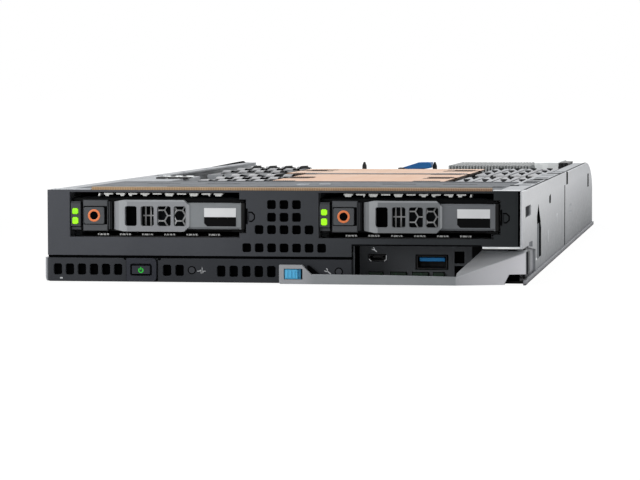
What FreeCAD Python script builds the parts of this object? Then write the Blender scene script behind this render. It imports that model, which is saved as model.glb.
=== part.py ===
import FreeCAD, Part
import math
import os

Vector = FreeCAD.Vector

# Half-width server sled, 1U high. +Z is up, the front faces -Y, the origin is under its middle.
# All sizes are in millimetres.

# Whole sled
HALF_WIDTH = 105.5
FRONT_Y = -262.5
REAR_Y = 262.5
TOP = 40.0
SHEET = 1.0

# Side walls and pan
WALL_OUT = 103.75
WALL_THICK = 1.2
WALL_IN = WALL_OUT - WALL_THICK
PAN_FLANGE_TOP = 2.0
SEAM_Y = 5.0
REAR_CURVE_Y = 195.0
REAR_CURVE_LOW = 22.0

# Front panel and the two drive bays
PANEL_Y = -258.5
PANEL_BACK = -256.5
PANEL_LOW = 11.6
PANEL_STEP_X = 30.2
PANEL_STEP_LOW = 16.4
PANEL_RIGHT = 100.8
BAY_CENTRES = (-56.2, 53.6)
BAY_HALF = 37.65
BAY_LOW = 19.5
BAY_HIGH = 39.1
VENT_X = 0.9
VENT_PITCH = 5.45
VENT_SIDE = 3.9
VENT_ROWS = ((33.9, 3), (28.45, 3), (23.1, 5), (15.25, 7))

# Drive cage
CAGE_FRONT = -251.0
CAGE_REAR = -146.5
CAGE_LEFT = -95.0
CAGE_RIGHT = 92.4
CAGE_LOW = 18.5
CAGE_SHEET = 0.8
LEG_FRONT = -225.0
FINGER_FRONT = -257.6
FINGER_REAR = -251.8
FINGER_BACKING = 0.4
TOP_FINGERS_LEFT = (-78.6, 26.8)
BOTTOM_FINGERS_LEFT = (-81.5, 27.6)
GUIDE_TOP = 21.7
GUIDE_FRONT = -246.0
GUIDE_REAR = -158.0

# Lower bezel
BEZEL_FRONT = -259.0
BEZEL_BACK = -256.8
BEZEL_LOW = 0.3
BEZEL_HIGH = 10.4
BEZEL_VENT_WIDE = 3.8
BEZEL_VENT_ROWS = ((-101.1, 5.38, 6, 3.0), (-52.4, 5.55, 2, 2.8), (-28.5, 5.5, 5, 2.6))
BEZEL_VENT_TALL = 4.9
POWER_X = -61.85
POWER_Z = 5.45
STATUS_LIGHTS = ((-39.5, 5.4), (24.8, 5.3))
STATUS_RADIUS = 1.4
STATUS_SIDES = 12

# Service port recess
PORT_Y = -241.0
PORT_SHEET = 1.2
PORT_RIGHT = 86.0
USB_X = 62.85
USB_Z = 8.5
MICRO_X = 39.05
MICRO_Z = 10.3
PORT_REAR = -229.6
CONTROL_LOW = 2.4

# Release lever
PIVOT_X = 98.0
PIVOT_Y = -243.0
PIN_RADIUS = 2.0
RUNNING = 0.06
LEVER_THICK = 3.1
LEVER_LOW = 0.4
BAR_TOP = 3.3
WING_TOP = 14.0
WING_CLEAR = 4.4
WING_START = 75.6
WING_END_Y = -252.2
LEDGE_LOW = 15.4

# Drive carriers, measured from the bay's middle
CARRIER_LOW = 22.0
CARRIER_HIGH = 36.4
CARRIER_FRONT = -255.5
CARRIER_BACK = -250.5
CARRIER_REAR = -160.0
RAIL_OUT = 37.2
HANDLE_FRONT = -259.3
HANDLE_BACK = -256.7
HANDLE_LOW = 22.0
HANDLE_HIGH = 35.7
HINGE_U = 38.8
HINGE_Y = -256.6
HINGE_PIN = 0.75
KNUCKLE_LOW = 23.1
KNUCKLE_HIGH = 34.5
KNUCKLE_RADIUS = 1.5
PIN_SEAT = KNUCKLE_LOW - 0.3
EAR_TOP = 35.6
BUTTON_U = -26.75
BUTTON_Z = 28.85
BUTTON_WIDE = 8.9
BUTTON_TALL = 7.3
LIGHT_LEFT = -36.6
LIGHT_RIGHT = -33.9
MESH_U = 4.3
MESH_Z = 28.7
MESH_Y = -253.2
MESH_WIDE = 22.6
MESH_TALL = 11.2
DISK_WIDE = 69.85
RAIL_IN = DISK_WIDE / 2
DISK_LONG = 100.0
DISK_TALL = 15.0
DISK_LOW = 21.7
DISK_REAR = -150.0

# System board and what stands on it
BOARD_LOW = 4.0
BOARD_HIGH = 5.6
BOARD_FRONT = -140.0
BOARD_REAR = 248.0
BOARD_HALF = 100.0
CORE_X = 10.0
PROCESSOR_Y = (-85.0, 37.0)
SINK_SIDES = ((-33.0, 53.0), (-46.0, 53.0))
SINK_LOW = 14.0
SINK_BASE_TOP = 17.0
SINK_TOP = 38.2
SINK_PLATE_TOP = 39.0
SINK_SPANS = ((-136.0, 1.0), (3.0, 98.0))
SINK_SCREWS_Y = ((-115.0, -55.0), (8.0, 66.0))
SINK_SCREW_IN = 5.0
FIN_PITCH = 5.2
FIN_THICK = 0.6
MEMORY_FIRST = 49.5
MEMORY_PITCH = 9.3
MEMORY_COLUMNS = 4
MEMORY_SETS = (-139.0, 12.0)
MEMORY_LEFT_SHIFT = (0, 2)
MEMORY_LONG = 135.0
MEMORY_WIDE = 6.5
TOWER_LONG = 6.0
SOCKET_TOP = 12.0
BLANK_TOP = 38.0
LATCH_PIVOT_Z = 9.5
LATCH_FOOT = 1.5
SLOT_FLOOR = LATCH_PIVOT_Z - LATCH_FOOT - RUNNING

# Rear card zone
CARD_LOW = 16.0
CARD_HIGH = 17.6
REAR_PANEL_Y = 250.0
LATCH_X = -7.5
LATCH_Y = 200.0
LATCH_Z = 35.2
GUIDE_X = (-95.6, 95.6)
GUIDE_Z = 12.0
GUIDE_RADIUS = 3.6


def at(plane, u, v, level):
    """Point on a drawing plane: front holds (x, z), plan holds (x, y), side holds (y, z)."""
    if plane == "front":
        return Vector(u, level, v)
    if plane == "plan":
        return Vector(u, v, level)
    return Vector(level, u, v)


def box(u0, u1, v0, v1):
    """Corners of an upright rectangle."""
    return [(u0, v0), (u1, v0), (u1, v1), (u0, v1)]


def centred(u, v, wide, tall):
    """Corners of a rectangle about its middle."""
    return box(u - wide / 2, u + wide / 2, v - tall / 2, v + tall / 2)


def clipped(corners, size):
    """The same outline with every corner cut straight across."""
    points = [Vector(u, v, 0) for u, v in corners]
    result = []
    for index, point in enumerate(points):
        for neighbour in (points[index - 1], points[(index + 1) % len(points)]):
            cut = point + (neighbour - point).normalize() * size
            result.append((cut.x, cut.y))
    return result


def regular(u, v, radius, sides):
    """Corners of a regular polygon."""
    steps = [math.radians(360 * (index + 0.5) / sides) for index in range(sides)]
    return [(u + radius * math.cos(step), v + radius * math.sin(step)) for step in steps]


def rounded_stops(corners, radii):
    """Start, middle and end of the arc at each corner; a sharp corner has no middle."""
    points = [Vector(u, v, 0) for u, v in corners]
    stops = []
    for index, point in enumerate(points):
        radius = radii[index]
        if radius == 0:
            stops.append((point, None, point))
            continue
        back = (points[index - 1] - point).normalize()
        ahead = (points[(index + 1) % len(points)] - point).normalize()
        half = back.getAngle(ahead) / 2
        trim = radius / math.tan(half)
        inward = (back + ahead).normalize() * (radius / math.sin(half) - radius)
        stops.append((point + back * trim, point + inward, point + ahead * trim))
    return stops


def outline(plane, corners, level, radius=0.0):
    """Closed wire through the corners, rounded by one radius or by one radius for each corner."""
    radii = radius if isinstance(radius, (list, tuple)) else [radius] * len(corners)
    stops = rounded_stops(corners, radii)
    edges = []
    for index, (start, middle, end) in enumerate(stops):
        following = stops[(index + 1) % len(stops)][0]
        if middle is not None:
            bend = [at(plane, point.x, point.y, level) for point in (start, middle, end)]
            edges.append(Part.Arc(*bend).toShape())
        if end.distanceToPoint(following) > 1e-6:
            ends = [at(plane, point.x, point.y, level) for point in (end, following)]
            edges.append(Part.makeLine(*ends))
    return Part.Wire(edges)


def prism(plane, corners, start, end, radius=0.0):
    """Solid carried straight from an outline on one level to another level."""
    face = Part.Face(outline(plane, corners, start, radius))
    return face.extrude(at(plane, 0, 0, end) - at(plane, 0, 0, start))


def rod(plane, u, v, radius, start, end):
    """Round bar square to a drawing plane."""
    along = at(plane, 0, 0, 1)
    return Part.makeCylinder(radius, end - start, at(plane, u, v, start), along)


def joined(first, *others):
    """One solid from pieces that touch or overlap."""
    return first.fuse(list(others)).removeSplitter()


def save(node, *shapes):
    """Write one node; several solids stay apart in one file."""
    solids = [solid for shape in shapes for solid in shape.Solids]
    whole = solids[0] if len(solids) == 1 else Part.makeCompound(solids)
    whole.exportStep("parts/" + node + ".step")


# Pan and walls

def base_pan():
    """Floor sheet with low side flanges, raised standoffs and a cut corner for the lever."""
    half = WALL_OUT + SHEET
    lever_bay_x = 70.0
    lever_bay_y = -247.5
    left_flange_front = -246.0
    floor = prism("plan", [
        (-half, left_flange_front), (-WALL_OUT, left_flange_front), (-WALL_OUT, BEZEL_BACK),
        (lever_bay_x, BEZEL_BACK), (lever_bay_x, lever_bay_y), (half, lever_bay_y),
        (half, REAR_Y), (-half, REAR_Y)], 0, SHEET)
    pieces = []
    for side, front in ((-1, left_flange_front), (1, lever_bay_y)):
        edges = sorted((side * WALL_OUT, side * half))
        pieces.append(prism("plan", box(edges[0], edges[1], front, REAR_Y), SHEET, PAN_FLANGE_TOP))
    standoff_radius = 3.0
    for x in (-92.0, 92.0):
        for y in (-130.0, -2.0, 120.0, 240.0):
            pieces.append(prism("plan", regular(x, y, standoff_radius, 6), SHEET, BOARD_LOW))
    for x in (-66.0, 20.0, 80.0):
        pieces.append(prism("plan", regular(x, -220.0, standoff_radius, 6), SHEET, CONTROL_LOW))
    return joined(floor, *pieces)


def rear_corner(x):
    """Quarter ellipse that rounds the top rear corner of a wall."""
    middle = Vector(x, REAR_CURVE_Y, REAR_CURVE_LOW)
    low_end = Vector(x, REAR_Y, REAR_CURVE_LOW)
    high_end = Vector(x, REAR_CURVE_Y, TOP)
    curve = Part.Ellipse(low_end, high_end, middle)
    return Part.ArcOfEllipse(curve, 0, math.pi / 2).toShape()


def rear_wall_plate(x0, x1, front):
    """Wall sheet from a front edge to the rounded rear corner."""
    low = SHEET
    corners = [(REAR_CURVE_Y, TOP), (front, TOP), (front, low), (REAR_Y, low), (REAR_Y, REAR_CURVE_LOW)]
    points = [Vector(x0, y, z) for y, z in corners]
    edges = [Part.makeLine(points[index], points[index + 1]) for index in range(len(points) - 1)]
    face = Part.Face(Part.Wire(edges + [rear_corner(x0)]))
    return face.extrude(Vector(x1 - x0, 0, 0))


def wall_cuts(x0, x1):
    """Openings that both walls have: latch window, tapered slot, keyhole and rear slot."""
    window = prism("side", box(-246.0, -216.0, 28.0, 32.8), x0, x1)
    slot = prism("side", [(-182, 6.2), (-156, 6.2), (-156, 19.3), (-174, 31), (-182, 26)], x0, x1)
    keyhole = prism("side", clipped(centred(-101.2, 30.6, 7.0, 3.2), 1.2), x0, x1)
    rear_slot = prism("side", clipped(box(211.0, 223.0, 25.0, 33.0), 1.5), x0, x1)
    return window, slot, keyhole, rear_slot


def left_wall():
    """Left wall in one length with a narrow folded top flange."""
    outer = -WALL_OUT
    inner = -WALL_IN
    flange_in = inner + 6.0
    plate = rear_wall_plate(outer, inner, PANEL_BACK)
    flange = prism("plan", box(inner, flange_in, CAGE_FRONT, REAR_CURVE_Y), TOP - SHEET, TOP)
    whole = joined(plate, flange)
    relief = 1.0
    cuts = wall_cuts(outer - relief, inner + relief)
    gaps = [prism("plan", centred(inner + 3.5, y, 4.0, 14.0), TOP - 2 * SHEET, TOP + SHEET)
            for y in range(-60, 190, 60)]
    return whole.cut(list(cuts) + gaps)


def right_wall_front():
    """Front length of the right wall: open low down at the lever, with a ledge, doubler and top flange."""
    corner_y = -190.0
    ledge_left = 86.4
    ledge_rear = -228.0
    flange_in = 92.7
    plate = prism("side", [
        (PANEL_Y, LEDGE_LOW), (corner_y, LEDGE_LOW), (corner_y, SHEET), (SEAM_Y, SHEET),
        (SEAM_Y, TOP), (PANEL_Y, TOP)], WALL_IN, WALL_OUT)
    ledge = prism("plan", box(ledge_left, WALL_IN, PANEL_Y, ledge_rear), LEDGE_LOW, LEDGE_LOW + SHEET)
    flange = prism("plan", box(flange_in, WALL_IN, CAGE_FRONT, SEAM_Y), TOP - SHEET, TOP)
    doubler_high = 19.0
    doubler = prism("side", box(-231.0, -150.0, SHEET, doubler_high), WALL_IN - SHEET, WALL_IN)
    whole = joined(plate, ledge, flange, doubler)
    window, slot, keyhole, _ = wall_cuts(WALL_IN, WALL_OUT + SHEET)
    gap_middle = (flange_in + WALL_IN) / 2
    gaps = [prism("plan", centred(gap_middle, y, 6.4, 12.0), TOP - 2 * SHEET, TOP + SHEET)
            for y in range(-180, 0, 36)]
    return whole.cut([window, slot, keyhole] + gaps)


def right_wall_rear():
    """Rear length of the right wall with its top notch and a stamped catch."""
    seam_gap = 2.4
    flange_in = WALL_IN - 6.0
    front = SEAM_Y + seam_gap
    plate = rear_wall_plate(WALL_IN, WALL_OUT, front)
    flange = prism("plan", box(flange_in, WALL_IN, front, REAR_CURVE_Y), TOP - SHEET, TOP)
    whole = joined(plate, flange)
    rear_slot = wall_cuts(WALL_IN - SHEET, WALL_OUT + SHEET)[3]
    notch = prism("side", box(19.0, 30.0, 33.4, TOP + SHEET), flange_in - SHEET, WALL_OUT + SHEET)
    catch = prism("side", [(40, 16.8), (62, 16.8), (62, 18.0), (42.5, 18.0), (42.5, 20.3),
                           (62, 20.3), (62, 21.5), (40, 21.5)], WALL_IN - SHEET, WALL_OUT + SHEET)
    return whole.cut([rear_slot, notch, catch])


def connector_blocks():
    """Rear connectors as (middle x, width, top, bottom)."""
    return ((58.0, 60.0, CARD_LOW - 0.2, BOARD_HIGH), (-8.0, 34.0, 18.0, BOARD_HIGH),
            (-52.0, 34.0, 18.0, BOARD_HIGH))


def rear_panel():
    """Low rear sheet with cut-outs for the connectors and upright vent slots."""
    top = 24.0
    room = 0.5
    sheet = prism("front", box(-WALL_IN, WALL_IN, SHEET, top), REAR_PANEL_Y, REAR_PANEL_Y + SHEET)
    cuts = []
    before = REAR_PANEL_Y - SHEET
    behind = REAR_PANEL_Y + 2 * SHEET
    for middle, wide, high, low in connector_blocks():
        hole = centred(middle, (low + high) / 2, wide + 2 * room, high - low + 2 * room)
        cuts.append(prism("front", hole, before, behind))
    for index in range(4):
        cuts.append(prism("front", centred(-74.0 - 2.8 * index, GUIDE_Z, 1.6, 16.0), before, behind))
    return sheet.cut(cuts)


# Front panel, cage and bezel

def vent_holes():
    """Square vents between the two bays: short rows above, wide rows below."""
    holes = []
    for z, count in VENT_ROWS:
        for index in range(count):
            x = VENT_X + (index - (count - 1) / 2) * VENT_PITCH
            square = centred(x, z, VENT_SIDE, VENT_SIDE)
            holes.append(prism("front", square, PANEL_Y - SHEET, PANEL_BACK + SHEET))
    return holes


def bay_cuts(centre):
    """One bay opening with the notch for the carrier's hinge and the stamped half-round beside it."""
    before = PANEL_Y - SHEET
    behind = PANEL_BACK + SHEET
    notch_right = centre + 40.6
    opening = prism("front", box(centre - BAY_HALF, centre + BAY_HALF, BAY_LOW, BAY_HIGH), before, behind)
    notch = prism("front", box(centre + BAY_HALF - 1, notch_right, 21.5, 36.1), before, behind)
    stamp_low = 26.5
    stamp_high = 30.7
    stamp_left = notch_right + 0.9
    stamp_right = stamp_left + 3.0
    line = 0.5
    stamp_depth = 0.4
    corner = 1.1
    ring_outline = [
        (stamp_left, stamp_low), (stamp_right - corner, stamp_low), (stamp_right, stamp_low + corner),
        (stamp_right, stamp_high - corner), (stamp_right - corner, stamp_high), (stamp_left, stamp_high)]
    middle = Vector((stamp_left + stamp_right) / 2, (stamp_low + stamp_high) / 2, 0)
    wide_share = 1 - 2 * line / (stamp_right - stamp_left)
    tall_share = 1 - 2 * line / (stamp_high - stamp_low)
    island_outline = [(middle.x + (x - middle.x) * wide_share, middle.y + (z - middle.y) * tall_share)
                      for x, z in ring_outline]
    ring = prism("front", ring_outline, before, PANEL_Y + stamp_depth)
    island = prism("front", island_outline, before, PANEL_Y + stamp_depth)
    return opening, notch, ring.cut(island)


def front_panel():
    """Stepped front sheet with a folded top edge, the bay openings and the vents."""
    plate = prism("front", [
        (-WALL_OUT, PANEL_LOW), (PANEL_STEP_X, PANEL_LOW), (PANEL_STEP_X, PANEL_STEP_LOW),
        (PANEL_RIGHT, PANEL_STEP_LOW), (PANEL_RIGHT, TOP), (-WALL_OUT, TOP)], PANEL_Y, PANEL_BACK)
    fold = prism("plan", box(-WALL_IN, PANEL_RIGHT, PANEL_BACK, CAGE_FRONT - 0.2), TOP - CAGE_SHEET, TOP)
    cuts = vent_holes()
    for centre in BAY_CENTRES:
        cuts.extend(bay_cuts(centre))
    return joined(plate, fold).cut(cuts)


def drive_cage():
    """Folded cage: two drive bays, an air duct between them, drive guides and a leg at each side."""
    room = 0.25
    duct_left = BAY_CENTRES[0] + BAY_HALF + room + CAGE_SHEET
    duct_right = BAY_CENTRES[1] - BAY_HALF - room - CAGE_SHEET
    roof = TOP - CAGE_SHEET
    block = prism("front", box(CAGE_LEFT, CAGE_RIGHT, CAGE_LOW, TOP), CAGE_FRONT, CAGE_REAR)
    cuts = [prism("front", box(duct_left, duct_right, 0, roof), CAGE_FRONT - SHEET, CAGE_REAR + SHEET)]
    for centre in BAY_CENTRES:
        bay = box(centre - BAY_HALF - room, centre + BAY_HALF + room, CAGE_LOW + CAGE_SHEET, roof)
        cuts.append(prism("front", bay, CAGE_FRONT - SHEET, CAGE_REAR + SHEET))
    for x in (-70.0, -42.0, 40.0, 68.0):
        cuts.append(prism("plan", centred(x, -176.0, 16.0, 5.0), roof - SHEET, TOP + SHEET))
    added = []
    for left in (CAGE_LEFT, CAGE_RIGHT - CAGE_SHEET):
        added.append(prism("front", box(left, left + CAGE_SHEET, SHEET, CAGE_LOW), LEG_FRONT, CAGE_REAR))
    for centre in BAY_CENTRES:
        for side in (-1, 1):
            edges = sorted((centre + side * (BAY_HALF - 2.4), centre + side * (BAY_HALF + room)))
            guide = box(edges[0], edges[1], CAGE_LOW + CAGE_SHEET, GUIDE_TOP)
            added.append(prism("front", guide, GUIDE_FRONT, GUIDE_REAR))
    return joined(block.cut(cuts), *added)


def finger_strip(left, count, pitch, width, edge, inward, near, far):
    """Row of spring leaves sloping forward from a thin strip at a bay edge; inward is +1 up or -1 down."""
    root = edge + inward * FINGER_BACKING
    shape = [(FINGER_FRONT, edge + inward * near), (FINGER_FRONT, edge + inward * far),
             (FINGER_REAR, root), (FINGER_REAR, edge)]
    leaves = [prism("side", shape, left + index * pitch, left + index * pitch + width)
              for index in range(count)]
    right = left + (count - 1) * pitch + width
    low, high = sorted((edge, root))
    strip = prism("plan", box(left, right, PANEL_BACK + 0.5, FINGER_REAR), low, high)
    return joined(strip, *leaves)


def emi_fingers():
    """Grounding spring strips along the top and bottom of each bay mouth."""
    top = [finger_strip(left, 10, 5.41, 3.85, BAY_HIGH, -1, 0.45, 1.1) for left in TOP_FINGERS_LEFT]
    bottom = [finger_strip(left, 6, 9.85, 4.8, BAY_LOW, 1, 0.85, 1.55) for left in BOTTOM_FINGERS_LEFT]
    return top + bottom


def emi_gasket():
    """Woven foam strip along the panel's top edge."""
    front = PANEL_Y + 0.1
    rear = PANEL_Y + 3.3
    high = TOP + 1.4
    corner = 0.5
    return prism("side", [
        (front, TOP), (rear, TOP), (rear, high - corner), (rear - corner, high), (front + corner, high),
        (front, high - corner)], -84.0, 90.5)


def lower_bezel():
    """Moulded channel: the front, a short return at the left and a deep one beside the ports."""
    left_return = -246.5
    thick = 1.6
    corner = 3.0
    corner_mid = 0.9
    shell = prism("plan", [
        (-HALF_WIDTH, BEZEL_FRONT + corner), (-HALF_WIDTH + corner_mid, BEZEL_FRONT + corner_mid),
        (-HALF_WIDTH + corner, BEZEL_FRONT), (PANEL_STEP_X, BEZEL_FRONT), (PANEL_STEP_X, PORT_Y - 0.2),
        (PANEL_STEP_X - thick, PORT_Y - 0.2), (PANEL_STEP_X - thick, BEZEL_BACK),
        (-HALF_WIDTH + thick, BEZEL_BACK), (-HALF_WIDTH + thick, left_return), (-HALF_WIDTH, left_return)],
        BEZEL_LOW, BEZEL_HIGH)
    before = BEZEL_FRONT - SHEET
    behind = BEZEL_BACK + SHEET
    cuts = []
    for first, pitch, count, low in BEZEL_VENT_ROWS:
        for index in range(count):
            left = first + index * pitch
            hole = box(left, left + BEZEL_VENT_WIDE, low, low + BEZEL_VENT_TALL)
            cuts.append(prism("front", hole, before, behind))
    for x, z in STATUS_LIGHTS:
        cuts.append(prism("front", regular(x, z, STATUS_RADIUS, STATUS_SIDES), before, behind))
    cuts.append(prism("plan", box(-WALL_OUT, PANEL_STEP_X + 1, BEZEL_BACK, PORT_Y), 0, SHEET))
    foot_clip = 1.3
    cuts.append(prism("front", [(-HALF_WIDTH, BEZEL_LOW), (-HALF_WIDTH + foot_clip, BEZEL_LOW),
                                (-HALF_WIDTH, BEZEL_LOW + foot_clip)], before, PORT_Y))
    web = 0.6
    pocket = box(POWER_X - 6.75, POWER_X + 6.85, BEZEL_LOW - 1, BEZEL_HIGH + 1)
    cuts.append(prism("front", pocket, before, BEZEL_BACK - web))
    cuts.append(prism("front", centred(POWER_X, POWER_Z, 3.4, 3.0), before, behind))
    return shell.cut(cuts)


def power_surround():
    """Raised block round the power button, rounded at its right side."""
    frame = prism("front", box(POWER_X - 6.55, POWER_X + 6.75, BEZEL_LOW, BEZEL_HIGH), BEZEL_FRONT - 0.8,
                  BEZEL_BACK - 0.6, [0, 2.0, 2.0, 0])
    hole = prism("front", clipped(centred(POWER_X, POWER_Z, 9.5, 5.1), 0.6), BEZEL_FRONT - 2, BEZEL_BACK)
    return frame.cut(hole)


def power_button():
    """Key cap with a stem towards the switch."""
    cap_back = BEZEL_FRONT + 0.3
    face = clipped(centred(POWER_X, POWER_Z, 8.9, 4.5), 0.5)
    cap = prism("front", face, BEZEL_FRONT - 1.1, cap_back)
    stem = prism("front", centred(POWER_X, POWER_Z, 2.4, 1.8), cap_back, -255.2)
    return joined(cap, stem)


def status_lights():
    """Two round light guides in the bezel."""
    lights = []
    for x, z in STATUS_LIGHTS:
        face = regular(x, z, STATUS_RADIUS, STATUS_SIDES)
        lights.append(prism("front", face, BEZEL_FRONT - 0.2, BEZEL_BACK + 1.2))
    return lights


# Service ports

def io_panel():
    """Recessed port plate with a forward return at its left and tabs down to the pan."""
    left = PANEL_STEP_X + 0.2
    back = PORT_Y + PORT_SHEET
    high = PANEL_STEP_LOW - 0.2
    plate = prism("plan", [
        (left, -255.0), (left + 0.8, -255.0), (left + 0.8, PORT_Y), (PORT_RIGHT, PORT_Y),
        (PORT_RIGHT, back), (left, back)], SHEET, high)
    before = PORT_Y - SHEET
    behind = back + SHEET
    cuts = [
        prism("front", clipped(centred(MICRO_X, MICRO_Z, 8.3, 3.2), 0.4), before, behind),
        prism("front", centred(USB_X, USB_Z, 14.3, 6.6), before, behind),
        prism("front", box(72.7, 77.0, 8.05, 13.2), before, behind),
        prism("front", box(72.7, 77.0, 2.2, 6.9), before, behind)]
    for start, end in board_tabs():
        cuts.append(prism("front", box(start, end, 0, 4.2), before, behind))
    return plate.cut(cuts)


def board_tabs():
    """Places along x where the control board's tabs pass under the port plate."""
    return ((34.9, 41.6), (44.6, 52.0), (54.2, 61.6), (63.3, 68.5))


def control_board():
    """Front board with its tabs, the upright port board and the power switch."""
    low = CONTROL_LOW
    high = low + 1.6
    rear = -215.0
    notch_x = PANEL_STEP_X - 2.0
    behind_ports = PORT_Y + PORT_SHEET + 0.4
    board = prism("plan", [
        (-72.0, -255.0), (notch_x, -255.0), (notch_x, behind_ports), (PORT_RIGHT, behind_ports),
        (PORT_RIGHT, rear), (-72.0, rear)], low, high)
    tabs = [prism("plan", box(start + 0.4, end - 0.4, PORT_Y - 1.2, behind_ports), low, high)
            for start, end in board_tabs()]
    upright = prism("front", box(33.0, 82.0, high, 15.5), PORT_REAR, PORT_REAR + 1.6)
    switch = prism("plan", centred(POWER_X, -250.4, 6.0, 6.6), high, 7.4)
    return joined(board, *tabs), upright, switch


def port_shells():
    """Stamped sockets: one wide rectangular port and one small tapered port."""
    front = PORT_Y - 0.4
    wall = 0.4
    wide = 13.2
    tall = 5.8
    usb = prism("front", clipped(centred(USB_X, USB_Z, wide, tall), 0.3), front, PORT_REAR)
    inside = centred(USB_X, USB_Z, wide - 2 * wall, tall - 2 * wall)
    usb_hollow = prism("front", inside, front - 1, PORT_REAR - 1.0)
    half = 3.75
    low = MICRO_Z - 1.3
    high = MICRO_Z + 1.3
    taper = 1.0
    micro = prism("front", [
        (MICRO_X - half + taper, low), (MICRO_X + half - taper, low), (MICRO_X + half, low + taper),
        (MICRO_X + half, high), (MICRO_X - half, high), (MICRO_X - half, low + taper)], front, PORT_REAR)
    skin = 0.35
    left = MICRO_X - half + skin
    right = MICRO_X + half - skin
    micro_hollow = prism("front", [
        (MICRO_X - half + taper, low + skin), (MICRO_X + half - taper, low + skin), (right, low + taper),
        (right, high - skin), (left, high - skin), (left, low + taper)], front - 1, PORT_REAR - 4.0)
    return usb.cut(usb_hollow), micro.cut(micro_hollow)


def usb_tongue():
    """Contact tongue in the upper half of the wide port."""
    return prism("front", centred(USB_X, USB_Z + 1.1, 10.9, 1.5), PORT_Y + 0.8, PORT_REAR - 1.0)


# Release lever

def lever_pin():
    """Upright pivot pin between the pan and the wall's ledge, with a hexagon collar under the hub."""
    collar = prism("plan", regular(PIVOT_X, PIVOT_Y, 3.4, 6), SHEET, WING_CLEAR - 0.3)
    return joined(rod("plan", PIVOT_X, PIVOT_Y, PIN_RADIUS, SHEET, LEDGE_LOW), collar)


def lever_facet(x):
    """Depth of the wing's front face: it turns back towards the sled's right side."""
    share = (x - WING_START) / (HALF_WIDTH - WING_START)
    return FRONT_Y + share * (WING_END_Y - FRONT_Y)


def lever_wing():
    """Wing at the pivot end: a wedge in plan with a sloping top and a cleared foot."""
    inner_x = 84.9
    inner_y = -244.0
    hub_radius = 5.0
    foot_x = 96.0
    hub_rear = PIVOT_Y + hub_radius
    back = FRONT_Y + LEVER_THICK
    upper = prism("plan", [
        (WING_START, FRONT_Y), (HALF_WIDTH, WING_END_Y), (HALF_WIDTH, PIVOT_Y - 1),
        (PIVOT_X + hub_radius, hub_rear), (PIVOT_X - hub_radius, hub_rear), (inner_x, inner_y),
        (WING_START, back)], WING_CLEAR, WING_TOP, [0, 0, 1.5, hub_radius - 1, hub_radius - 1, 0, 0])
    # The sloping top runs from the bar's upper edge to the wing's flat top.
    start = Vector(WING_START, FRONT_Y, BAR_TOP)
    inner = Vector(inner_x, inner_y, WING_TOP)
    outer = Vector(HALF_WIDTH, WING_END_Y, WING_TOP)
    high = Vector(0, 0, 20.0)
    ridge = Part.makePolygon([start, outer, inner, start])
    slope = Part.Face(ridge)
    above = slope.extrude(high)
    side = Part.Face(Part.makePolygon([
        start, inner, Vector(WING_START, inner_y, WING_TOP), start])).extrude(high)
    upper = upper.cut([above, side])
    foot = prism("plan", [
        (WING_START, FRONT_Y), (foot_x, lever_facet(foot_x)), (foot_x, lever_facet(foot_x) + LEVER_THICK),
        (WING_START, back)], LEVER_LOW, WING_CLEAR)
    slant = prism("front", [
        (foot_x - 1, LEVER_LOW - 1), (foot_x + 5, LEVER_LOW - 1), (foot_x + 5, WING_CLEAR),
        (foot_x + 1.5, WING_CLEAR)], FRONT_Y, PIVOT_Y)
    tip = prism("plan", [
        (foot_x, lever_facet(foot_x)), (foot_x + 1.8, lever_facet(foot_x + 1.8)),
        (foot_x + 1.8, lever_facet(foot_x + 1.8) + LEVER_THICK), (foot_x, lever_facet(foot_x) + LEVER_THICK)],
        LEVER_LOW, WING_CLEAR)
    low = joined(foot, tip).cut([slant, above, side])
    return joined(upper, low)


def lever_bar():
    """Front bar with the square latch plate at its free end, in one front outline."""
    plate_left = -0.6
    plate_right = 9.2
    plate_top = 8.2
    knee_x = 14.3
    bar_right = WING_START + 0.5
    return prism("front", [
        (plate_left, LEVER_LOW), (bar_right, LEVER_LOW), (bar_right, BAR_TOP), (knee_x, BAR_TOP),
        (plate_right, plate_top), (plate_left, plate_top)], FRONT_Y, FRONT_Y + LEVER_THICK)


def release_lever():
    """Cam lever: bar, wing and hub in one casting, bored for its pin, with a window for the latch."""
    body = joined(lever_bar(), lever_wing())
    bore = rod("plan", PIVOT_X, PIVOT_Y, PIN_RADIUS + RUNNING, 0, TOP)
    window = prism("front", box(1.5, 9.6, 2.0, 6.6), FRONT_Y - 1, FRONT_Y + LEVER_THICK + 1)
    pocket = prism("front", box(0.6, 11.0, 1.3, 7.2), FRONT_Y + 1.5, FRONT_Y + LEVER_THICK + 1)
    return body.cut([bore, window, pocket])


def lever_latch():
    """Thumb slider in the lever's window with a flange behind it and three grip ribs."""
    front = FRONT_Y + 0.4
    flange_front = FRONT_Y + 1.8
    key = prism("front", box(1.8, 7.4, 2.3, 6.3), front, flange_front)
    flange = prism("front", box(0.9, 8.6, 1.6, 6.9), flange_front, FRONT_Y + LEVER_THICK - 0.1)
    ribs = [prism("front", box(x, x + 0.6, 2.7, 5.9), FRONT_Y + 0.05, front) for x in (2.6, 4.2, 5.8)]
    return joined(key, flange, *ribs)


# Drives

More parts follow.
